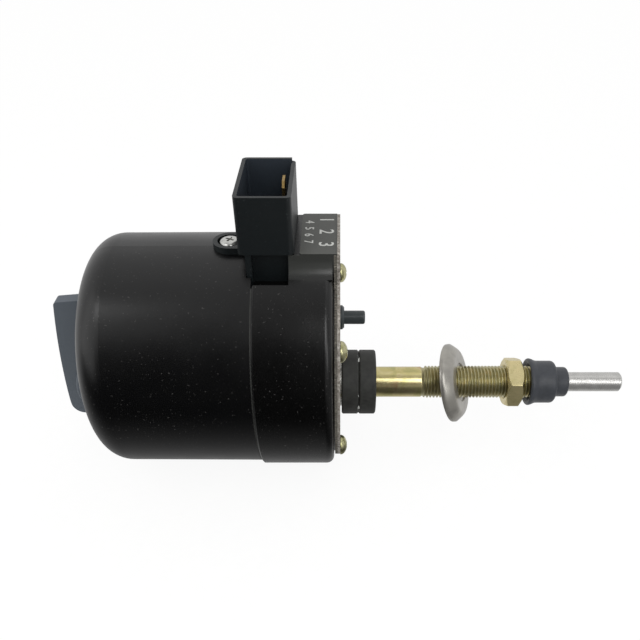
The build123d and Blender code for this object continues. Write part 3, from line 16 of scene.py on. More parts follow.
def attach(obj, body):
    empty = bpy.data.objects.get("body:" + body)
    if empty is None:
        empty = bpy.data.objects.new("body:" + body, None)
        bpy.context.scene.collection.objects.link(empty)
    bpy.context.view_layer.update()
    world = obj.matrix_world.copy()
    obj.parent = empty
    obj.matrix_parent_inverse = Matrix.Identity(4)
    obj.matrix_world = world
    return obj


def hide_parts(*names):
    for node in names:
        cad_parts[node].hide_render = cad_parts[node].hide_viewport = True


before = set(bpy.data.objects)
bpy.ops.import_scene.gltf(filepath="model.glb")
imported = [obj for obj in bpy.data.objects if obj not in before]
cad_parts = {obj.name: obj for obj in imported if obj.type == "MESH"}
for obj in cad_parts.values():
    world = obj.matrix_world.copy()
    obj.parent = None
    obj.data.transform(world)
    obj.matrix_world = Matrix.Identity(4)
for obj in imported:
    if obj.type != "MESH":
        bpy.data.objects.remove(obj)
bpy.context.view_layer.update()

# %% [markdown]
# ## Sizes
#
# The model is in metres and workshop sizes are in millimetres, so one value turns one into the
# other. X runs along the spindle and starts where the panel touches the outer pad, so a place
# that a fitter would measure from the mounting plate is 13 mm less here.

# %% Sizes in millimetres
MM = 0.001
PLATE = -13.0            # the plate's outer face
BODY_Z = 15.8            # the round body's axis above the spindle
LABEL_RISE = 44.83       # the label block's top above that axis
scene = bpy.context.scene
scene.view_settings.view_transform = "Standard"
print("plate face at", PLATE, "mm, body axis at", BODY_Z, "mm")

# %% [markdown]
# ## Camera
#
# The camera looks along +Y and down at about forty degrees, from a quarter of a metre away. The
# middle of the picture lies off the lens axis, so the lens is shifted, as on a view camera, and
# the camera itself isn't turned to either side.

# %% Camera
PICTURE_PX = 640         # the picture is square
FOCAL_PX = 692.5         # focal length, in pixels of that picture
AXIS_PX = (340.3, 414.8) # where the lens axis meets it, from the top left corner
SENSOR_MM = 36.0
CAMERA_MM = (-13.0, -203.4, 163.2)
LOOK_DOWN_DEG = 41.48
camera_data = bpy.data.cameras.new("camera")
camera_data.sensor_width = SENSOR_MM
camera_data.lens = SENSOR_MM * FOCAL_PX / PICTURE_PX
camera_data.shift_x = (PICTURE_PX / 2 - AXIS_PX[0]) / PICTURE_PX
camera_data.shift_y = (AXIS_PX[1] - PICTURE_PX / 2) / PICTURE_PX
camera_data.clip_start = 0.01
camera = bpy.data.objects.new("camera", camera_data)
camera.location = [along * MM for along in CAMERA_MM]
camera.rotation_euler = (math.radians(90 - LOOK_DOWN_DEG), 0, 0)
scene.collection.objects.link(camera)
scene.camera = camera
print("lens", round(camera_data.lens, 2), "mm, shift", camera_data.shift_x, camera_data.shift_y)

# %% [markdown]
# ## Helpers for finishes
#
# Paint and plating catalogues give colours as they look on a screen, and the renderer counts in
# linear light, so one function does that sum. Another adds a node with its settings and links,
# and a third starts a material from the standard surface shader. The rest say in a maker's words
# what a texture does to a surface: vary its colour or its roughness, raise it, or lay a second
# colour over the first.

# %% Colours and nodes
def linear(hex_colour):
    """A screen colour such as "#8a8a8a" as linear red, green, blue and alpha."""
    parts = [int(hex_colour[i:i + 2], 16) / 255 for i in (1, 3, 5)]
    return tuple(p / 12.92 if p <= 0.04045 else ((p + 0.055) / 1.055) ** 2.4 for p in parts) + (1.0,)


def add_node(tree, kind, inputs=None, **settings):
    """Adds a node, sets its properties, then fills or links its inputs."""
    node = tree.nodes.new(kind)
    for name, value in settings.items():
        setattr(node, name, value)
    for key, value in (inputs or {}).items():
        if isinstance(value, bpy.types.NodeSocket):
            tree.links.new(value, node.inputs[key])
        else:
            node.inputs[key].default_value = value
    return node


def features(size_mm):
    """Texture scale that gives features of this size, on coordinates in metres."""
    return 1000.0 / size_mm


def start_material(name, colour, roughness, metallic=0.0, ior=None):
    """A material with the shader's own sockets set; returns it with its tree, shader and place."""
    material = bpy.data.materials.new(name)
    material.use_nodes = True
    tree = material.node_tree
    shader = tree.nodes["Principled BSDF"]
    shader.inputs["Base Color"].default_value = linear(colour)
    shader.inputs["Roughness"].default_value = roughness
    shader.inputs["Metallic"].default_value = metallic
    if ior is not None:
        shader.inputs["IOR"].default_value = ior
    place = add_node(tree, "ShaderNodeTexCoord").outputs["Object"]
    return material, tree, shader, place


def vary_colour(tree, shader, source, stops):
    """Runs a texture through a colour ramp with these (position, colour) stops."""
    ramp = add_node(tree, "ShaderNodeValToRGB", {"Fac": source})
    while len(ramp.color_ramp.elements) < len(stops):
        ramp.color_ramp.elements.new(0.5)
    for element, (position, colour) in zip(ramp.color_ramp.elements, stops):
        element.position = position
        element.color = linear(colour)
    tree.links.new(ramp.outputs["Color"], shader.inputs["Base Color"])


def vary_roughness(tree, shader, source, low, high):
    """Maps a texture onto a range of roughness."""
    span = add_node(tree, "ShaderNodeMapRange", {"Value": source, "To Min": low, "To Max": high})
    tree.links.new(span.outputs["Result"], shader.inputs["Roughness"])


def raise_surface(tree, shader, source, depth_mm):
    """Uses a texture as height, at a real depth."""
    bump = add_node(tree, "ShaderNodeBump", {"Height": source, "Distance": depth_mm * MM})
    tree.links.new(bump.outputs["Normal"], shader.inputs["Normal"])


def lay_over(material, mask, colour):
    """Puts another colour over a material's own wherever the mask is 1."""
    tree = material.node_tree
    shader = tree.nodes["Principled BSDF"]
    under = shader.inputs["Base Color"].links[0].from_socket
    over = add_node(tree, "ShaderNodeMix", {"Factor": mask, "A": under, "B": linear(colour)},
                    data_type="RGBA")
    tree.links.new(over.outputs["Result"], shader.inputs["Base Color"])


def stretched(tree, place, factors):
    """Coordinates squeezed by these factors, for marks that run one way."""
    return add_node(tree, "ShaderNodeMapping", {"Vector": place, "Scale": factors}).outputs["Vector"]


print("white is", linear("#ffffff"), "mid grey is", [round(c, 3) for c in linear("#808080")])

# %% [markdown]
# ## Black finishes
#
# The rear cover is a smooth moulding with a soft shine, the gear housing is a casting under
# satin enamel, and the plug socket is nylon with a duller, slightly grey skin. All three are
# nearly the same colour, so the eye tells them apart by how sharp their reflections are: each
# gets its own roughness, a faint orange peel or grain, and specks of light dust. The filled
# nylon of lever and peg is greyer, the socket's inside is painted paler and bluer as painted
# light, and the label is a flat grey ink.
#
# On the wall of the label block that faces -Y, a paler grey is painted into the enamel as
# painted light. It stands in for the brighter reflection that this steep wall shows. A mask finds
# it: high enough above the round, and far enough towards -Y.

# %% Moulded cover and enamelled casting
HAZE_MM = 9              # clouds of more and less shine
SPECK_MM = 0.7           # dust, drawn coarser than it is so that it shows
# Painted light: the wall's paler tone stands in for a brighter reflection.
WALL_FADE = (36.9, 39.9) # above the body's axis, where the wall's paler enamel sets in
WALL_Y = -13.5


def smooth_black(name, colour, rough, peel_mm, peel_depth, dust):
    """Black moulding or enamel: a soft shine with a slight orange peel and specks of dust."""
    material, tree, shader, place = start_material(name, colour, rough, ior=1.5)
    haze = add_node(tree, "ShaderNodeTexNoise",
                    {"Vector": place, "Scale": features(HAZE_MM), "Detail": 4.0, "Roughness": 0.6})
    vary_roughness(tree, shader, haze.outputs["Fac"], rough - 0.05, rough + 0.07)
    speck = add_node(tree, "ShaderNodeTexNoise",
                     {"Vector": place, "Scale": features(SPECK_MM), "Detail": 2.0})
    vary_colour(tree, shader, speck.outputs["Fac"], [(0.0, colour), (0.68, colour), (0.75, dust)])
    peel = add_node(tree, "ShaderNodeTexNoise",
                    {"Vector": place, "Scale": features(peel_mm), "Detail": 2.0})
    raise_surface(tree, shader, peel.outputs["Fac"], peel_depth)
    return material


cover_moulding = smooth_black("cover_phenolic_moulding", "#030304", 0.31, 2.5, 0.009, "#3b3a39")
housing_enamel = smooth_black("housing_satin_enamel", "#030303", 0.25, 1.2, 0.010, "#3b3a39")
socket_nylon = smooth_black("socket_nylon", "#0f1517", 0.44, 0.8, 0.012, "#262b2d")
lever_nylon = smooth_black("lever_filled_nylon", "#50575f", 0.48, 0.9, 0.02, "#5a6169")
end_cap_nylon = smooth_black("end_cap_nylon", "#151515", 0.5, 0.9, 0.015, "#2a2a2a")
# Painted light: the inside walls are paler and bluer, to brighten them where the socket shades them.
socket_inside_painted_light = smooth_black("socket_nylon_inside_painted_light", "#2b323a", 0.46, 0.8, 0.012, "#333a42")
peg_nylon = smooth_black("peg_filled_nylon", "#303638", 0.3, 0.8, 0.004, "#3d4344")
label_ink = smooth_black("label_grey_ink", "#454642", 0.45, 0.6, 0.006, "#50514d")

tree = housing_enamel.node_tree
place = add_node(tree, "ShaderNodeTexCoord").outputs["Object"]
spot = add_node(tree, "ShaderNodeSeparateXYZ", {"Vector": place})
high_up = add_node(tree, "ShaderNodeMapRange", {
    "Value": spot.outputs["Z"], "From Min": (BODY_Z + WALL_FADE[0]) * MM,
    "From Max": (BODY_Z + WALL_FADE[1]) * MM}, interpolation_type="SMOOTHSTEP")
wall_side = add_node(tree, "ShaderNodeMath", {0: spot.outputs["Y"], 1: WALL_Y * MM},
                     operation="LESS_THAN")
painted_wall_light = add_node(tree, "ShaderNodeMath", {
    0: high_up.outputs["Result"], 1: wall_side.outputs[0]}, operation="MULTIPLY")
# Painted light: a lighter grey is laid on the wall in place of a brighter reflection.
lay_over(housing_enamel, painted_wall_light.outputs[0], "#313230")
print("black finishes:", cover_moulding.name, housing_enamel.name, socket_nylon.name)

# %% [markdown]
# ## Rubber and fibre
#
# Moulded rubber is dull and a little grainy. The pads are black, and the seal cap is a greyer,
# smoother compound with a faint bloom. Where the two pads meet, a broken white line is laid
# along the seam: a mask on X finds the seam and a coarse noise breaks the line.
# The gasket is pressed fibre: brownish, matt and made of short strands.

# %% Rubber and gasket
SEAM_X = -6.25           # between the pads
SEAM_LINE_REACH = 0.3         # on either side of the seam
SEAM_BREAK_MM = 3.5            # length of the line's broken bits
SEAM_LINE_FADE = (0.54, 0.6)  # levels of the noise between which a bit fades in


def moulded_rubber(name, colour, bloom, rough):
    """Moulded rubber with a mottled bloom and a fine grain, drawn coarser than it is."""
    material, tree, shader, place = start_material(name, colour, rough, ior=1.52)
    mottle = add_node(tree, "ShaderNodeTexNoise",
                      {"Vector": place, "Scale": features(2.2), "Detail": 5.0, "Roughness": 0.65})
    vary_colour(tree, shader, mottle.outputs["Fac"], [(0.35, colour), (0.75, bloom)])
    vary_roughness(tree, shader, mottle.outputs["Fac"], rough - 0.08, rough + 0.1)
    grain = add_node(tree, "ShaderNodeTexNoise",
                     {"Vector": place, "Scale": features(0.35), "Detail": 3.0})
    raise_surface(tree, shader, grain.outputs["Fac"], 0.03)
    return material


pad_rubber = moulded_rubber("pad_rubber", "#222321", "#343532", 0.6)
cap_rubber = moulded_rubber("cap_slate_rubber", "#303338", "#383b41", 0.4)

tree = pad_rubber.node_tree
place = add_node(tree, "ShaderNodeTexCoord").outputs["Object"]
spot = add_node(tree, "ShaderNodeSeparateXYZ", {"Vector": place})
# A broken white line is laid along the seam between the pads.
near_seam = add_node(tree, "ShaderNodeMath", {
    0: spot.outputs["X"], 1: SEAM_X * MM, 2: SEAM_LINE_REACH * MM}, operation="COMPARE")
seam_noise = add_node(tree, "ShaderNodeTexNoise", {
    "Vector": place, "Scale": features(SEAM_BREAK_MM), "Detail": 3.0, "Roughness": 0.7})
seam_bits = add_node(tree, "ShaderNodeMapRange", {
    "Value": seam_noise.outputs["Fac"], "From Min": SEAM_LINE_FADE[0], "From Max": SEAM_LINE_FADE[1]})
seam_line = add_node(tree, "ShaderNodeMath", {0: near_seam.outputs[0], 1: seam_bits.outputs["Result"]},
                  operation="MULTIPLY")
lay_over(pad_rubber, seam_line.outputs[0], "#d6d8d5")

gasket_fibre, tree, shader, place = start_material("gasket_fibre", "#5c5850", 0.85)
strand = add_node(tree, "ShaderNodeTexNoise", {
    "Vector": stretched(tree, place, (1.0, 1.0, 4.0)), "Scale": features(0.9), "Detail": 6.0})
vary_colour(tree, shader, strand.outputs["Fac"],
            [(0.3, "#37342e"), (0.55, "#5c5850"), (0.75, "#8d887e")])
raise_surface(tree, shader, strand.outputs["Fac"], 0.06)
print("soft finishes:", pad_rubber.name, cap_rubber.name, gasket_fibre.name)

# %% [markdown]
# ## Plated and bare metal
#
# Steel parts that live outdoors are zinc plated. A yellow chromate turns the zinc gold, with
# thin-film tints of green and pink that wander over a few millimetres. A clear one leaves it
# silver. Metals have no diffuse colour, so the tints go into the metal's own colour, and short
# scratches and a cloudy roughness stop it from looking like a mirror. The rolled plate, its
# sheared edge and the washer carry a dull oxide, so they count as metal only in part.

# %% Zinc, steel and brass
def plated_metal(name, stops, rough, cloud_mm, scratch=(1.0, 14.0, 14.0), scratch_depth=0.01,
                 metallic=1.0):
    """Plated metal: wandering tint, cloudy roughness and fine marks along one direction."""
    material, tree, shader, place = start_material(name, stops[0][1], rough, metallic=metallic)
    cloud = add_node(tree, "ShaderNodeTexNoise", {
        "Vector": place, "Scale": features(cloud_mm), "Detail": 3.0, "Distortion": 0.6})
    vary_colour(tree, shader, cloud.outputs["Fac"], stops)
    marks = add_node(tree, "ShaderNodeTexNoise", {
        "Vector": stretched(tree, place, scratch), "Scale": features(3.0), "Detail": 4.0})
    vary_roughness(tree, shader, marks.outputs["Fac"], rough - 0.09, rough + 0.12)
    raise_surface(tree, shader, marks.outputs["Fac"], scratch_depth)
    return material


yellow_zinc = plated_metal("yellow_zinc_plating", [
    (0.28, "#b9b57e"), (0.45, "#cfc389"), (0.58, "#d9cc9a"), (0.75, "#c6a679")],
    0.2, 5.0, (1.0, 5.0, 5.0), 0.003)
# The threaded part takes a darker, duller copy of the yellow plating.
thread_zinc = plated_metal("thread_olive_zinc", [
    (0.3, "#a8a381"), (0.5, "#b7b089"), (0.7, "#c2b58b")], 0.32, 2.5, (1.0, 4.0, 4.0), 0.001)
nut_zinc = plated_metal("nut_yellow_zinc", [
    (0.3, "#cdc08c"), (0.5, "#dccf9d"), (0.7, "#e3d3a0")], 0.28, 3.0, (1.0, 3.0, 3.0), 0.004)
olive_zinc = plated_metal("olive_zinc_plating", [
    (0.3, "#a09f74"), (0.5, "#b9b68c"), (0.7, "#cac5a2")], 0.26, 1.6, (1.0, 4.0, 4.0), 0.005)
bright_zinc = plated_metal("bright_zinc_plating", [
    (0.3, "#b4b4b2"), (0.6, "#d6d6d2")], 0.25, 1.8, (1.0, 4.0, 4.0), 0.006)
washer_zinc = plated_metal("washer_satin_zinc", [
    (0.25, "#9c9993"), (0.5, "#aaa7a0"), (0.75, "#b6b3ab")], 0.3, 5.0, (1.0, 1.0, 1.0), 0.015, 0.8)
shaft_steel = plated_metal("shaft_ground_steel", [
    (0.3, "#c3c2bf"), (0.7, "#d4d3d0")], 0.26, 3.0, (20.0, 1.0, 1.0), 0.012)
plate_face = plated_metal("plate_rolled_steel", [
    (0.3, "#918c85"), (0.7, "#a5a099")], 0.42, 7.0, (1.0, 1.0, 1.0), 0.01, 0.5)
plate_edge = plated_metal("plate_sheared_edge", [
    (0.3, "#6b655e"), (0.5, "#938d85"), (0.7, "#bdb9b1")], 0.5, 0.9, (6.0, 1.0, 1.0), 0.05, 0.35)
blade_brass = plated_metal("blade_brass", [
    (0.3, "#a88b55"), (0.7, "#c9ad76")], 0.34, 3.0)
spring_steel = plated_metal("spring_steel", [(0.3, "#8f8f90"), (0.7, "#b0b0b0")], 0.3, 2.0)
gear_steel = plated_metal("gear_steel", [(0.3, "#77787a"), (0.7, "#9a9b9c")], 0.32, 2.0)
laminated_core = plated_metal("laminated_core", [(0.3, "#5c5c5e"), (0.7, "#7d7d7e")], 0.45, 2.0,
                              (40.0, 1.0, 1.0), 0.03)
print("metal finishes:", len([m for m in bpy.data.materials if "zinc" in m.name]), "of them zinc")

# %% [markdown]
# ## What is inside
#
# Nothing shows these pieces while the housing is closed, but the model can be taken apart, so
# they get honest finishes too: acetal gears, copper wire under clear enamel, sintered magnets
# and bushes, a brown phenolic brush card.

# %% Inner finishes
def plain_stock(name, stops, rough, size_mm, depth_mm, metallic=0.0):
    """A material whose colour and surface vary at one real size."""
    material, tree, shader, place = start_material(name, stops[0][1], rough, metallic=metallic)
    grain = add_node(tree, "ShaderNodeTexNoise",
                     {"Vector": place, "Scale": features(size_mm), "Detail": 4.0})
    vary_colour(tree, shader, grain.outputs["Fac"], stops)
    vary_roughness(tree, shader, grain.outputs["Fac"], rough - 0.06, rough + 0.1)
    raise_surface(tree, shader, grain.outputs["Fac"], depth_mm)
    return material


gear_acetal = plain_stock("gear_acetal", [(0.3, "#d8d4c4"), (0.7, "#e9e6da")], 0.42, 1.5, 0.01)
bush_bronze = plain_stock("bush_sintered_bronze", [(0.35, "#8a6236"), (0.65, "#b58552")],
                          0.4, 0.4, 0.02, 1.0)
magnet_ferrite = plain_stock("magnet_ferrite", [(0.3, "#38383a"), (0.7, "#4c4c4f")],
                             0.62, 0.6, 0.03)
brush_carbon = plain_stock("brush_carbon", [(0.3, "#1c1c1e"), (0.7, "#37373a")], 0.55, 0.4, 0.02)
card_phenolic = plain_stock("card_phenolic", [(0.3, "#5f3d22"), (0.7, "#81583a")], 0.5, 1.2, 0.02)
film_blue = plain_stock("capacitor_dipped_film", [(0.3, "#1c3c7c"), (0.7, "#2a52a0")],
                        0.22, 2.5, 0.03)

winding_copper, tree, shader, place = start_material("winding_enamelled_copper", "#b1602c", 0.28,
                                                     metallic=1.0)
wire = add_node(tree, "ShaderNodeTexWave", {
    "Vector": place, "Scale": features(2.2), "Distortion": 1.5, "Detail": 1.0},
    bands_direction="DIAGONAL")
vary_colour(tree, shader, wire.outputs["Fac"], [(0.1, "#6b3315"), (0.6, "#c47438")])
raise_surface(tree, shader, wire.outputs["Fac"], 0.12)
print("inner finishes:", gear_acetal.name, bush_bronze.name, winding_copper.name)

# %% [markdown]
# ## Dress the CAD nodes
#
# A node whose shape is already right keeps its solid and only takes a finish. Every node is in
# this list, also those that a detailed piece stands in for further down.

# %% Finishes by node
finishes = {
    cover_moulding: ["rear_cover"],
    housing_enamel: ["gear_housing", "motor_can"],
    socket_nylon: ["connector_housing"],
    end_cap_nylon: ["motor_end_cap"],
    lever_nylon: ["hand_lever"],
    pad_rubber: ["inner_pad", "outer_pad", "cover_seal"],
    peg_nylon: ["locating_peg"],
    cap_rubber: ["seal_cap"],
    gasket_fibre: ["plate_gasket"],
    plate_face: ["mounting_plate"],
    yellow_zinc: ["spindle_bushing"],
    nut_zinc: ["hex_nut"],
    olive_zinc: ["plate_screws"],
    bright_zinc: ["connector_screw", "connector_nut", "carrier_screws", "motor_screws",
                  "collar_washer", "carrier_plate", "connecting_rod", "rocker_lever"],
    washer_zinc: ["dished_washer"],
    shaft_steel: ["wiper_shaft", "armature_shaft", "first_gear_post", "second_gear_post",
                  "crank_post", "crank_pin", "rocker_pin", "lever_pin"],
    blade_brass: ["terminal_blades", "commutator", "park_disc", "park_contacts"],
    spring_steel: ["brush_springs", "post_clips", "shaft_clip", "thrust_washer"],
    gear_steel: ["motor_pinion"],
    laminated_core: ["armature_core"],
    winding_copper: ["armature_windings"],
    bush_bronze: ["front_bush", "plate_bush", "cover_bush", "motor_front_bush",
                  "motor_rear_bush"],
    gear_acetal: ["first_gear", "second_gear", "crank_wheel"],
    magnet_ferrite: ["field_magnets"],
    brush_carbon: ["brushes"],
    card_phenolic: ["brush_card"],
    film_blue: ["noise_capacitor"],
}
dressed = {}
for finish, node_names in finishes.items():
    for node_name in node_names:
        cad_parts[node_name].data.materials.clear()
        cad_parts[node_name].data.materials.append(finish)
        dressed[node_name] = finish
print("nodes without a finish:", sorted(set(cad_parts) - set(dressed)))

# %% [markdown]
# ## From a bmesh to a piece
#
# Each new piece is made in a bmesh with its place already in its vertices, so its object sits at
# the origin. This helper turns the bmesh into an object, shades it by edge angle, gives it its
# finish, hangs it on the empty of the body it rides on, and hides the CAD node it stands for. A
# second helper spins a profile about the X axis, as a lathe would.

# %% Making a piece
MERGE_MM = 0.002         # points nearer than this become one


def make_piece(bm, name, finish, body="root", stands_for=(), smooth_angle=35):
    """Turns a finished bmesh into an object that rides on a CAD body."""
    bmesh.ops.remove_doubles(bm, verts=bm.verts, dist=MERGE_MM * MM)
    bmesh.ops.recalc_face_normals(bm, faces=bm.faces)
    for face in bm.faces:
        face.smooth = True
    for edge in bm.edges:
        if len(edge.link_faces) == 2 and edge.calc_face_angle() > math.radians(smooth_angle):
            edge.smooth = False
    mesh = bpy.data.meshes.new(name)
    bm.to_mesh(mesh)
    bm.free()
    mesh.materials.append(finish)
    piece = bpy.data.objects.new(name, mesh)
    scene.collection.objects.link(piece)
    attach(piece, body)
    if stands_for:
        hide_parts(*stands_for)
    print(name, len(mesh.polygons), "faces")
    return piece


def turned(bm, profile, steps=96, closed=True):
    """Turns a profile of (along X, radius) points in millimetres about the X axis."""
    ring = [bm.verts.new((x * MM, 0, r * MM)) for x, r in profile]
    edges = [bm.edges.new((a, b)) for a, b in zip(ring, ring[1:])]
    if closed:
        edges.append(bm.edges.new((ring[-1], ring[0])))
    bmesh.ops.spin(bm, geom=ring + edges, cent=(0, 0, 0), axis=(1, 0, 0), dvec=(0, 0, 0),
                   angle=2 * math.pi, steps=steps, use_merge=True)
    bmesh.ops.remove_doubles(bm, verts=bm.verts, dist=MERGE_MM * MM)

# %% [markdown]
# ## Cutting and painting
#
# A recess is cut with a Boolean modifier on a stand-in object. The cut mesh is read back at once
# and the stand-ins are removed, so no modifier is left on the piece. The cutter may be made of
# forms that cross each other, as the two bars of a cross recess do, and "self intersection" tells
# the Boolean to expect that. Where one piece carries two finishes, a test on the place and the
# facing of each face says which faces get the second.

# %% Recesses and second finishes
def cut_out(bm, cutter):
    """Takes a closed cutter out of a closed form, and gives the result as a new bmesh."""
    made = []
    for name, form in (("form", bm), ("cutter", cutter)):
        bmesh.ops.recalc_face_normals(form, faces=form.faces)
        mesh = bpy.data.meshes.new(name)
        form.to_mesh(mesh)
        form.free()
        made.append(bpy.data.objects.new(name, mesh))
        scene.collection.objects.link(made[-1])
    cut = made[0].modifiers.new("cut", "BOOLEAN")
    cut.operation = "DIFFERENCE"
    cut.solver = "EXACT"
    cut.use_self = True
    cut.object = made[1]
    bpy.context.view_layer.update()
    cut_mesh = bpy.data.meshes.new_from_object(
        made[0].evaluated_get(bpy.context.evaluated_depsgraph_get()))
    result = bmesh.new()
    result.from_mesh(cut_mesh)
    spare_meshes = [cut_mesh] + [spare.data for spare in made]
    for spare in made:
        bpy.data.objects.remove(spare)
    for mesh in spare_meshes:
        bpy.data.meshes.remove(mesh)
    return result


def paint(piece, finish, chosen):
    """Gives a second finish to the faces whose place (mm) and normal pass a test."""
    piece.data.materials.append(finish)
    slot = len(piece.data.materials) - 1
    faces = [face for face in piece.data.polygons if chosen(face.center / MM, face.normal)]
    for face in faces:
        face.material_index = slot
    print(piece.name, "has", len(faces), "faces of", finish.name)

# %% [markdown]
# ## Softened edges on moulded and cast pieces
#
# No moulded, cast or rubber piece has a knife edge, and the thin bright line along an edge is
# what tells the eye that it is solid. A copy of the CAD node's mesh is merged, its flat
# triangles are joined into whole faces, and its sharp edges are bevelled by a fraction of a
# millimetre. Wide faces would bend their shading towards the small bevels, so each copy gets
# normals weighted by area.

# %% Softened copies
CAD_MERGE_MM = 0.001     # the frame's loose triangles meet to within this
FLAT_DEG = 0.6           # triangles that bend less than this are one face
SHARP_DEG = 28           # edges that bend more than this are softened


def bevelled(bm, edges, width_mm, segments):
    """Rounds these edges of a bmesh."""
    bmesh.ops.bevel(bm, geom=edges, offset=width_mm * MM, offset_type="OFFSET", segments=segments,
                    profile=0.5, affect="EDGES", clamp_overlap=True, material=-1)


def sharp_edges(bm, limit_deg):
    """The edges between two faces that bend by more than an angle."""
    return [edge for edge in bm.edges
            if len(edge.link_faces) == 2 and edge.calc_face_angle() > math.radians(limit_deg)]


def softened(node_name, piece_name, width_mm, body="root", cutter=None):
    """A bevelled copy of a CAD node that stands for it."""
    bm = bmesh.new()
    bm.from_mesh(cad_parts[node_name].data)
    bmesh.ops.remove_doubles(bm, verts=bm.verts, dist=CAD_MERGE_MM * MM)
    if cutter:
        bm = cut_out(bm, cutter)
    bmesh.ops.dissolve_limit(bm, angle_limit=math.radians(FLAT_DEG), verts=bm.verts, edges=bm.edges)
    bevelled(bm, sharp_edges(bm, SHARP_DEG), width_mm, 3)
    piece = make_piece(bm, piece_name, dressed[node_name], body, (node_name,))
    even = piece.modifiers.new("even_shading", "WEIGHTED_NORMAL")
    even.keep_sharp = True
    even.weight = 80
    return piece


# %% [markdown]
# ## What gets soft edges
#
# The widths run from about a tenth of a millimetre on the punched plate to over half on the lever,
# which is moulded thick. The housing's label face is printed grey, and the plate shows its rolled
# face on the broad sides and a rougher, sheared metal on its rim.

# %% Softened pieces
housing = softened("gear_housing", "housing_casting", 0.35)
paint(housing, label_ink,
      lambda place, normal: normal.z > 0.99 and place.z > BODY_Z + LABEL_RISE - 0.1)
softened("hand_lever", "lever_moulding", 0.6, body="spindle")
softened("inner_pad", "inner_pad_rubber", 0.15)
softened("outer_pad", "outer_pad_rubber", 0.15)
plate = softened("mounting_plate", "plate_pressing", 0.12)
paint(plate, plate_edge, lambda place, normal: abs(normal.x) < 0.6)
softened("hex_nut", "nut_forging", 0.18)

# %% [markdown]
# ## Plug socket
#
# The socket is moulded with an ear for its screw. The ear has a round pocket that takes the
# screw's head, and the pocket is cut into the copy before its edges are softened. The walls
# inside the socket are painted a bluer and paler nylon than the outside, as painted light that
# brightens walls the socket itself shades.

# %% Socket with its pocket
EAR_X = PLATE - 35.4     # the screw's axis
EAR_TOP = BODY_Z + 42.28
POCKET_R = 4.0
POCKET_DEPTH = 1.35
CUTTER_H = 4.0
MOUTH_X, MOUTH_Y = -35.6, 0.6                # middle of the socket's inside
MOUTH_HALF_X, MOUTH_HALF_Y = 7.35, 13.95
MOUTH_FLOOR, MOUTH_RIM = 62.8, 78.5
pocket = bmesh.new()
bmesh.ops.create_cone(pocket, cap_ends=True, segments=64, radius1=POCKET_R * MM,
                      radius2=POCKET_R * MM, depth=CUTTER_H * MM)
bmesh.ops.translate(pocket, vec=Vector((EAR_X, 0, EAR_TOP - POCKET_DEPTH + CUTTER_H / 2)) * MM,
                    verts=pocket.verts)
socket = softened("connector_housing", "socket_moulding", 0.3, cutter=pocket)
# Painted light: the socket's inside walls get the paler, bluer nylon.
paint(socket, socket_inside_painted_light,
      lambda place, normal: abs(place.x - MOUTH_X) < MOUTH_HALF_X
      and abs(place.y - MOUTH_Y) < MOUTH_HALF_Y and MOUTH_FLOOR < place.z < MOUTH_RIM)

# %% [markdown]
# ## Root of the label block
#
# Where the label block leaves the round of the housing on its -Y side, the mould has a generous
# hollow round, and gasket and plate were cut to much the same outline. That outline needs one
# circle that touches the block's wall and the round from outside, and the two touching points
# follow from the two radii and the wall's place. Each layer extrudes the outline by its own
# thickness, and the casting's layer has a rounded front edge, as the housing itself has.

# %% Root fillet
HOLLOW = 5.5             # radius of the hollow round
ARC_STEPS = 12
BLOCK_TOP = 44.4         # just under the label face, above the body's axis
INTO_BLOCK = 0.6         # how far the layer reaches into the block
INTO_ROUND = 0.98        # and into the round, as a share of the touching point's radius
HOUSING_R, PLATE_R = 41.48, 38.27            # the rounds of the casting, and of plate and gasket
NEAR = 0.01              # play for picking edges by their place


def root_layer(name, finish, back_x, front_x, round_r, wall_y, soft_edge=0.0):
    """One layer of the hollow round beside the block, between two places on X, in millimetres."""
    hollow_y = wall_y - HOLLOW
    hollow_z = math.sqrt((round_r + HOLLOW) ** 2 - hollow_y ** 2)
    meet = Vector((hollow_y, hollow_z)) * round_r / (round_r + HOLLOW)
    end_turn = math.atan2(meet.y - hollow_z, meet.x - hollow_y)
    outline = [(wall_y + INTO_BLOCK, BLOCK_TOP), (wall_y, BLOCK_TOP)]
    for step in range(ARC_STEPS + 1):
        bend = end_turn * step / ARC_STEPS
        outline.append((hollow_y + HOLLOW * math.cos(bend), hollow_z + HOLLOW * math.sin(bend)))
    outline += [(meet.x * INTO_ROUND, meet.y * INTO_ROUND),
                (wall_y + INTO_BLOCK, meet.y * INTO_ROUND)]
    bm = bmesh.new()
    side = bm.faces.new([bm.verts.new(Vector((back_x, y, BODY_Z + z)) * MM) for y, z in outline])
    along = bmesh.ops.extrude_face_region(bm, geom=[side])["geom"]
    bmesh.ops.translate(bm, vec=((front_x - back_x) * MM, 0, 0),
                        verts=[v for v in along if isinstance(v, bmesh.types.BMVert)])
    if soft_edge:
        front_arc = [edge for edge in bm.edges
                     if all(v.co.x > (front_x - NEAR) * MM and v.co.y < (wall_y + NEAR) * MM
                            and v.co.z < (BODY_Z + hollow_z + NEAR) * MM for v in edge.verts)]
        bevelled(bm, front_arc, soft_edge, 5)
    make_piece(bm, name, finish, smooth_angle=40)


root_layer("block_root_fillet", housing_enamel, PLATE - 15.9, PLATE - 2.4, HOUSING_R, -13.83,
           soft_edge=1.5)
root_layer("gasket_root_fillet", gasket_fibre, PLATE - 1.95, PLATE - 1.0, PLATE_R, -13.95)
root_layer("plate_root_fillet", plate_edge, PLATE - 0.98, PLATE - 0.02, PLATE_R, -14.22)

# %% [markdown]
# ## Screws
#
# The four plate screws have round heads and the socket's screw a low one that sits in its pocket.
# A head and its shank are spun from one outline, and a tapered cross is cut out of the head.

# %% Screws with a cross recess
HEAD_R = 3.55
SHANK_R = 2.0
HEAD_FOOT = 0.15         # height of the head's small chamfer at its seat
CROSS_DEPTH = 1.2
PLATE_SCREWS = [(-24.8, 16.2), (24.8, 16.2), (-24.8, -24.7), (24.8, -24.7)]   # from the body's axis


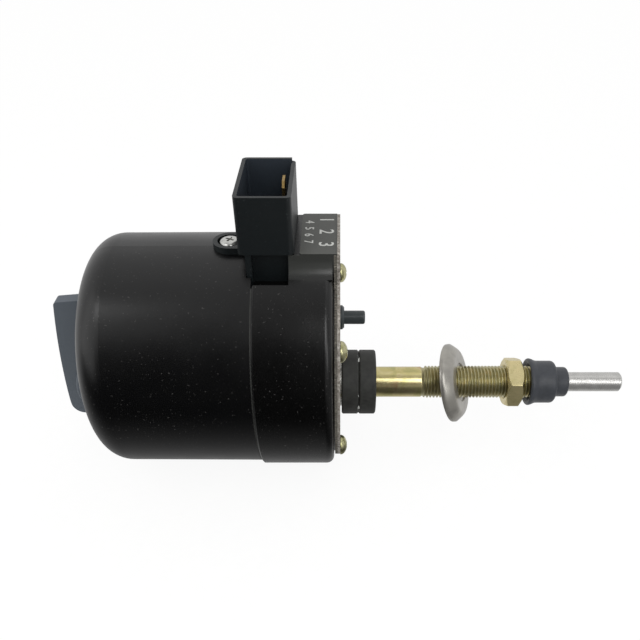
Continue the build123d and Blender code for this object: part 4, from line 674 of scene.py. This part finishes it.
def screw(head_h, length, turn_deg, flat):
    """One screw along X with its head's seat at the origin; flat is the share of a level top."""
    bm = bmesh.new()
    outline = [(-length, 0), (-length, SHANK_R - 0.4), (-length + 0.5, SHANK_R), (0, SHANK_R),
               (0, HEAD_R - 0.12), (HEAD_FOOT, HEAD_R)]
    for step in range(1, 11):
        bend = math.radians(9 * step)
        outline.append((HEAD_FOOT + (head_h - HEAD_FOOT) * math.sin(bend),
                        HEAD_R * (flat + (1 - flat) * math.cos(bend))))
    outline.append((head_h, 0))
    turned(bm, outline, steps=48, closed=False)
    cross = bmesh.new()
    for quarter in (0, 90):
        arm = bmesh.ops.create_cube(cross, size=1.0)["verts"]
        bmesh.ops.scale(cross, vec=(2 * CROSS_DEPTH * MM, 1.15 * HEAD_R * MM, 0.24 * HEAD_R * MM),
                        verts=arm)
        bmesh.ops.scale(cross, vec=(1, 0.5, 0.6), verts=[v for v in arm if v.co.x < 0])
        bmesh.ops.rotate(cross, cent=(0, 0, 0), verts=arm,
                         matrix=Matrix.Rotation(math.radians(turn_deg + quarter), 3, "X"))
    bmesh.ops.translate(cross, vec=(head_h * MM, 0, 0), verts=cross.verts)
    return cut_out(bm, cross)


plate_set = bmesh.new()
for number, (y, z) in enumerate(PLATE_SCREWS):
    one = screw(head_h=2.4, length=7.6, turn_deg=20 + 37 * number, flat=0.0)
    bmesh.ops.translate(one, vec=Vector((PLATE, y, BODY_Z + z)) * MM, verts=one.verts)
    mesh = bpy.data.meshes.new("screw")
    one.to_mesh(mesh)
    one.free()
    plate_set.from_mesh(mesh)
    bpy.data.meshes.remove(mesh)
make_piece(plate_set, "plate_screw_set", olive_zinc, stands_for=("plate_screws",), smooth_angle=40)
low_screw = screw(head_h=1.75, length=6.1, turn_deg=62, flat=0.55)
stand_up = Matrix.Rotation(math.radians(-90), 4, "Y")
sink_in = Matrix.Translation(Vector((EAR_X, 0, EAR_TOP - POCKET_DEPTH)) * MM)
bmesh.ops.transform(low_screw, verts=low_screw.verts, matrix=sink_in @ stand_up)
make_piece(low_screw, "socket_screw", bright_zinc, stands_for=("connector_screw",), smooth_angle=40)

# %% [markdown]
# ## Threaded bushing
#
# The bushing is a turned tube with an M12 thread of 1.25 mm pitch along its front half. A real
# thread is one groove that climbs as it goes round, not a stack of rings. The tube is spun from
# its profile, and the thread is one small ridge, spun round the axis while it moves along it by
# one pitch a turn. The ridge starts at under half its height and grows to the full one within its
# first turn or so, as a thread does where the die first bites.
#
# The plain barrel next to the thread is one long row of faces, and shading is blended between the
# ends of a face. A ring of edges close to the thread keeps the thread's tilt out of that blend.

# %% Bushing with its thread
PITCH = 1.25
THREAD_START = PLATE + 30.35
THREAD_END = PLATE + 74.5
BORE, BARREL, FLANGE = 4.7, 5.7, 10.0        # radii
ROOT, CREST = 5.28, 5.97
ROOT_SKIN = 0.1          # the ridge's height counts from this far under the tube's surface
FIRST_SHARE = 0.45       # share of the ridge's height at its very start
RIDGE_STEPS = 60
bm = bmesh.new()
turned(bm, [(PLATE - 4.8, BORE), (PLATE - 4.8, BARREL), (PLATE - 2.6, BARREL),
            (PLATE - 2.6, FLANGE - 0.1), (PLATE - 2.5, FLANGE), (PLATE - 1.1, FLANGE),
            (PLATE - 1.0, FLANGE - 0.1), (PLATE - 1.0, BARREL), (THREAD_START - 0.35, BARREL),
            (THREAD_START, 5.45), (THREAD_START + 0.8, ROOT), (THREAD_END - 0.3, ROOT),
            (THREAD_END, ROOT - 0.3), (THREAD_END, BORE)], steps=72)
turns = int((THREAD_END - THREAD_START - 1.4) / PITCH)
ridge = [(-0.60, ROOT - 0.08), (-0.19, CREST - 0.05), (-0.11, CREST), (0.11, CREST),
         (0.19, CREST - 0.05), (0.60, ROOT - 0.08)]
start_x = THREAD_START + 0.5
ridge_verts = [bm.verts.new(((start_x + x) * MM, 0, r * MM)) for x, r in ridge]
ridge_face = bm.faces.new(ridge_verts)
bmesh.ops.spin(bm, geom=[ridge_face] + list(ridge_face.edges) + ridge_verts, cent=(0, 0, 0),
               axis=(1, 0, 0), dvec=(PITCH / RIDGE_STEPS * MM, 0, 0),
               angle=2 * math.pi * turns, steps=RIDGE_STEPS * turns, use_merge=False)
for vert in bm.verts:
    radius = math.hypot(vert.co.y, vert.co.z) / MM
    if radius > ROOT and THREAD_START < vert.co.x / MM < THREAD_START + 1.6:
        grown = min(1.0, max(0.0, (vert.co.x / MM - THREAD_START - 0.1) / 1.3))
        share = FIRST_SHARE + (1 - FIRST_SHARE) * grown
        keep = (ROOT - ROOT_SKIN + (radius - ROOT + ROOT_SKIN) * share) / radius
        vert.co.y *= keep
        vert.co.z *= keep
bmesh.ops.bisect_plane(bm, geom=bm.verts[:] + bm.edges[:] + bm.faces[:],
                       plane_co=((THREAD_START - 0.5) * MM, 0, 0), plane_no=(1, 0, 0))
bushing = make_piece(bm, "bushing_thread", yellow_zinc, stands_for=("spindle_bushing",),
                     smooth_angle=50)
# The threaded part gets the darker, duller copy of the plating.
paint(bushing, thread_zinc, lambda place, normal: place.x > THREAD_START - 0.3)
print("thread turns:", turns)

# %% [markdown]
# ## Dished washer
#
# The washer is pressed from sheet. In section it climbs steeply from the rim, and from half way in
# it lies flat round the hole. The section is spun about the X axis and its four edges are
# rounded, as the press leaves them. The washer hangs loose on the bushing and leans, so the
# finished bmesh is then turned and moved as a whole.

# %% Washer
RIM, HOLE = 14.7, 7.15   # radii
DISH, SHEET = 3.3, 1.5   # depth of the dish, and thickness along X
CLIMB_SHARE = 0.5        # share of the way in over which the section climbs
WASHER_X = PLATE + 42.55 # where the rim sits
WASHER_DROP = 0.2        # the hole's middle lies this far below the axis
LEAN = Vector((0.925, -0.25, 0.32))          # where its front faces
WASHER_STEPS = 14
middle = DISH - SHEET / 2
front_line = []
for step in range(WASHER_STEPS + 1):
    share = step / WASHER_STEPS
    rise = DISH * math.sin(min(1.0, share / CLIMB_SHARE) * math.pi / 2)
    front_line.append((rise, RIM + (HOLE - RIM) * share))
back_line = [(x - SHEET, r) for x, r in reversed(front_line)]
bm = bmesh.new()
turned(bm, front_line + back_line, steps=128)
bevelled(bm, sharp_edges(bm, 50), 0.5, 4)
turn = Vector((1, 0, 0)).rotation_difference(LEAN).to_matrix().to_4x4()
move = Matrix.Translation(
    Vector((WASHER_X, -middle * LEAN.y, -WASHER_DROP - middle * LEAN.z)) * MM)
bmesh.ops.transform(bm, matrix=move @ turn, verts=bm.verts)
make_piece(bm, "washer_pressing", washer_zinc, stands_for=("dished_washer",), smooth_angle=60)

# %% [markdown]
# ## Seal cap
#
# The cap is one turned rubber form: a flared lip round an open mouth, a plain barrel with a soft
# shoulder, and a narrow collar that wipes the shaft. Its outline is drawn once and spun, with
# short arcs where the mould had rounded corners. The points run from the inside of the barrel out
# round the lip and along the outside to the collar, each as a place on X and a radius.

# %% Seal cap
CORNER_STEPS = 5
INSIDE_R, WIPE_R = 6.1, 3.66                 # inside of the barrel, and the collar on the shaft


def corner(centre_x, centre_r, radius, start_deg, end_deg):
    """Points along a rounded corner of an outline, in millimetres."""
    points = []
    for step in range(CORNER_STEPS + 1):
        bend = math.radians(start_deg + (end_deg - start_deg) * step / CORNER_STEPS)
        points.append((centre_x + radius * math.cos(bend), centre_r + radius * math.sin(bend)))
    return points


bm = bmesh.new()
outline = [(PLATE + 78.1, INSIDE_R), (PLATE + 73.0, INSIDE_R), (PLATE + 70.2, 6.9)]
outline += corner(PLATE + 70.45, 8.05, 0.75, 190, 80)
outline += [(PLATE + 71.4, 8.55), (PLATE + 72.2, 8.15), (PLATE + 73.0, 7.92), (PLATE + 74.2, 7.9)]
outline += corner(PLATE + 78.4, 6.5, 1.4, 90, 8)
outline += [(PLATE + 79.85, 5.75), (PLATE + 80.15, 5.55)]
outline += corner(PLATE + 83.6, 4.55, 1.0, 90, 0)
outline += [(PLATE + 84.6, 3.9), (PLATE + 84.4, WIPE_R), (PLATE + 78.1, WIPE_R)]
turned(bm, outline)
make_piece(bm, "cap_rubber_boot", cap_rubber, stands_for=("seal_cap",), smooth_angle=50)

# %% [markdown]
# ## Numbers on the label block
#
# The block beside the socket carries two rows of plain white numbers. Text is turned into a mesh
# and laid flat on the face, with the tops of the figures towards the spindle's end, so a row runs
# towards -Y. Pad printing spreads a little as it is pressed on, so the outlines are pushed out by
# a twentieth of a millimetre.

# %% Printed numbers
CAP_SHARE = 0.7          # height of a figure as a share of the font's size
INK_SPREAD = 0.05
INK_DEPTH = 0.015        # half the thickness of the ink, drawn thicker than it is
ROW_Y = 0.9              # middle of both rows
print_white, tree, shader, place = start_material("print_white_ink", "#c4c5c1", 0.55)
worn = add_node(tree, "ShaderNodeTexNoise", {"Vector": place, "Scale": features(0.5), "Detail": 3.0})
vary_colour(tree, shader, worn.outputs["Fac"], [(0.3, "#aaaba7"), (0.6, "#cbccc8")])
raise_surface(tree, shader, worn.outputs["Fac"], 0.01)


def printed(text, height_mm, spacing, at_x):
    """Text as a thin mesh on the block's top face, in a row that runs towards -Y."""
    curve = bpy.data.curves.new("ink", "FONT")
    curve.body = text
    curve.size = height_mm * MM / CAP_SHARE
    curve.align_x = "CENTER"
    curve.align_y = "CENTER"
    curve.space_character = spacing
    curve.offset = INK_SPREAD * MM
    curve.extrude = INK_DEPTH * MM
    holder = bpy.data.objects.new("ink", curve)
    scene.collection.objects.link(holder)
    bpy.context.view_layer.update()
    ink = bpy.data.meshes.new_from_object(
        holder.evaluated_get(bpy.context.evaluated_depsgraph_get()))
    bpy.data.objects.remove(holder)
    bpy.data.curves.remove(curve)
    ink.transform(Matrix.Translation(Vector((at_x, ROW_Y, BODY_Z + LABEL_RISE)) * MM)
                  @ Matrix.Rotation(math.radians(-90), 4, "Z"))
    return ink


bm = bmesh.new()
for row in (printed("1 2 3", 4.6, 1.5, PLATE - 4.6), printed("4 5 6 7", 2.8, 1.35, PLATE - 10.0)):
    bm.from_mesh(row)
    bpy.data.meshes.remove(row)
make_piece(bm, "block_numbers", print_white)

# %% [markdown]
# ## Floor
#
# The part lies in a plain studio: a pale sweep behind and above it, and the dark of the room in
# front of it, towards -Y. That dark front is what keeps black mouldings black. The camera sees
# the floor as nearly plain white, with enough of the paper left in it to hold the part's shadow.
# Mirror-like reflections see the floor too, and for them the white falls off towards the front.
# Towards +X the fall is short and steep and ends in a half-light, as if a pale wall stood there,
# and that gives the plated metal its hard line between bright and dark.

# %% Floor
FLOOR_Z = BODY_Z - 41.6
FLOOR_HALF = 3.0         # metres
SEEN_WHITE = 0.9         # share of plain white that the camera sees
WHITE_LEVEL = 1.02
GLOSSY_FRONT, GLOSSY_RIGHT, GLOSSY_BACK = 0.02, 0.28, 0.76   # how bright a reflection finds it
WALL_FROM, WALL_TO = -0.03, 0.10             # metres on X over which the pale wall sets in
SHIFT_FROM, SHIFT_TO = -0.02, 0.005          # metres on X over which the fall-off moves
DARK_LEFT, DARK_RIGHT = -0.105, -0.028       # metres on Y: dark up to here, left and right
BRIGHT_LEFT, BRIGHT_RIGHT = 0.05, 0.012      # metres on Y: bright from here on
floor_paper, tree, shader, place = start_material("floor_paper", "#e9e9e7", 0.9)
fibre = add_node(tree, "ShaderNodeTexNoise", {"Vector": place, "Scale": features(3), "Detail": 4.0})
vary_colour(tree, shader, fibre.outputs["Fac"], [(0.3, "#e4e4e2"), (0.7, "#efefed")])
bm = bmesh.new()
bmesh.ops.create_grid(bm, x_segments=1, y_segments=1, size=FLOOR_HALF)
bmesh.ops.translate(bm, vec=(0, 0, FLOOR_Z * MM), verts=bm.verts)
floor_mesh = bpy.data.meshes.new("floor")
bm.to_mesh(floor_mesh)
bm.free()
floor_mesh.materials.append(floor_paper)
floor = bpy.data.objects.new("floor", floor_mesh)
scene.collection.objects.link(floor)
paths = add_node(tree, "ShaderNodeLightPath")
straight = add_node(tree, "ShaderNodeMath", {
    0: paths.outputs["Is Camera Ray"], 1: paths.outputs["Is Transmission Ray"]},
    operation="MAXIMUM")
seen = add_node(tree, "ShaderNodeMath", {0: straight.outputs[0], 1: SEEN_WHITE},
                operation="MULTIPLY")
white = add_node(tree, "ShaderNodeEmission", {"Color": linear("#ffffff"), "Strength": WHITE_LEVEL})
lit = add_node(tree, "ShaderNodeMixShader", {
    "Fac": seen.outputs[0], 1: shader.outputs["BSDF"], 2: white.outputs["Emission"]})
spot = add_node(tree, "ShaderNodeSeparateXYZ", {"Vector": place})
to_right = add_node(tree, "ShaderNodeMapRange", {
    "Value": spot.outputs["X"], "From Min": WALL_FROM, "From Max": WALL_TO},
    interpolation_type="SMOOTHSTEP").outputs["Result"]
front_level = add_node(tree, "ShaderNodeMapRange", {
    "Value": to_right, "To Min": GLOSSY_FRONT, "To Max": GLOSSY_RIGHT}).outputs["Result"]
dark_until, bright_from = [
    add_node(tree, "ShaderNodeMapRange", {
        "Value": spot.outputs["X"], "From Min": SHIFT_FROM, "From Max": SHIFT_TO,
        "To Min": left, "To Max": right}).outputs["Result"]
    for left, right in ((DARK_LEFT, DARK_RIGHT), (BRIGHT_LEFT, BRIGHT_RIGHT))]
fall_off = add_node(tree, "ShaderNodeMapRange", {
    "Value": spot.outputs["Y"], "From Min": dark_until, "From Max": bright_from,
    "To Min": front_level, "To Max": GLOSSY_BACK}, interpolation_type="SMOOTHSTEP")
sheen = add_node(tree, "ShaderNodeEmission", {"Color": linear("#ffffff"),
                                              "Strength": fall_off.outputs["Result"]})
both = add_node(tree, "ShaderNodeMixShader", {
    "Fac": paths.outputs["Is Glossy Ray"], 1: lit.outputs["Shader"], 2: sheen.outputs["Emission"]})
tree.links.new(both.outputs["Shader"], tree.nodes["Material Output"].inputs["Surface"])
print("floor at", round(FLOOR_Z, 1), "mm, reflections from", GLOSSY_FRONT, "to", GLOSSY_BACK)

# %% [markdown]
# ## Sky
#
# The sky does the same from above. The camera sees it plain white, matt surfaces get a little less
# than that from all sides, and reflections find it dark in front, half bright towards +X and
# bright at the back.

# %% Sky
PLAIN_LEVEL = 0.9        # how brightly the sky lights matt surfaces
MIRROR_FRONT, MIRROR_RIGHT, MIRROR_BACK = 0.0, 0.4, 0.76     # how bright a reflection finds it
STRAIGHT_AHEAD = (0.0, -0.98, 0.17)          # the middle of the dark front, a little above level
FACING = (-0.1, 0.92)                        # cosine to that, over which the dark sets in
TO_RIGHT = (-0.01, 0.12)                     # a direction's X, over which the right sets in
world = bpy.data.worlds.new("studio")
scene.world = world
world.use_nodes = True
sky = world.node_tree
towards = add_node(sky, "ShaderNodeTexCoord").outputs["Generated"]
front = add_node(sky, "ShaderNodeVectorMath", {0: towards, 1: STRAIGHT_AHEAD},
                 operation="DOT_PRODUCT")
sideways = add_node(sky, "ShaderNodeSeparateXYZ", {"Vector": towards})
to_right = add_node(sky, "ShaderNodeMapRange", {
    "Value": sideways.outputs["X"], "From Min": TO_RIGHT[0], "From Max": TO_RIGHT[1],
    "To Min": MIRROR_FRONT, "To Max": MIRROR_RIGHT}, interpolation_type="SMOOTHSTEP")
mirror = add_node(sky, "ShaderNodeMapRange", {
    "Value": front.outputs["Value"], "From Min": FACING[0], "From Max": FACING[1],
    "To Min": MIRROR_BACK, "To Max": to_right.outputs["Result"]})
paths = add_node(sky, "ShaderNodeLightPath")
straight = add_node(sky, "ShaderNodeMath", {
    0: paths.outputs["Is Camera Ray"], 1: paths.outputs["Is Transmission Ray"]},
    operation="MAXIMUM")
matt_or_mirror = add_node(sky, "ShaderNodeMapRange", {
    "Value": paths.outputs["Is Glossy Ray"], "To Min": PLAIN_LEVEL,
    "To Max": mirror.outputs["Result"]})
strength = add_node(sky, "ShaderNodeMapRange", {
    "Value": straight.outputs[0], "To Min": matt_or_mirror.outputs["Result"], "To Max": 1.0})
sky.links.new(strength.outputs["Result"], sky.nodes["Background"].inputs["Strength"])
sky.nodes["Background"].inputs["Color"].default_value = linear("#ffffff")
print("sky lights matt surfaces at", PLAIN_LEVEL, "and mirrors at up to", MIRROR_BACK)

# %% [markdown]
# ## Lamps
#
# Five faint soft boxes draw the highlights: two on the left give the cover its broad shine and its
# rounded back a rim, one above touches the metal, and the two in front and on the right lay the
# bright line along bushing, nut and shaft. A lamp's size sets how wide its highlight is, and its
# place how high that line lies on a round form.

# %% Lamps
def soft_lamp(name, place_mm, aim_mm, size_mm, watts, height_mm=None):
    """An area lamp that looks at a point; a square one where no height is given."""
    lamp_data = bpy.data.lights.new(name, "AREA")
    lamp_data.shape = "RECTANGLE"
    lamp_data.size = size_mm * MM
    lamp_data.size_y = (height_mm or size_mm) * MM
    lamp_data.energy = watts
    lamp = bpy.data.objects.new(name, lamp_data)
    lamp.location = Vector(place_mm) * MM
    lamp.rotation_euler = (Vector(aim_mm) - Vector(place_mm)).to_track_quat("-Z", "Y").to_euler()
    scene.collection.objects.link(lamp)


soft_lamp("left_lamp", (-330, -170, 520), (-60, 0, 15), 90, 0.19)
soft_lamp("left_soft", (-440, -200, 260), (-90, 0, 30), 460, 0.54)
soft_lamp("top_lamp", (160, 60, 500), (50, 0, 0), 200, 0.045)
soft_lamp("bar_lamp", (152, -392, 457), (30, 0, 0), 220, 0.6, 300)
soft_lamp("side_lamp", (350, -460, 260), (75, 0, 0), 170, 0.25, 210)
print("lamps:", len(bpy.data.lights))
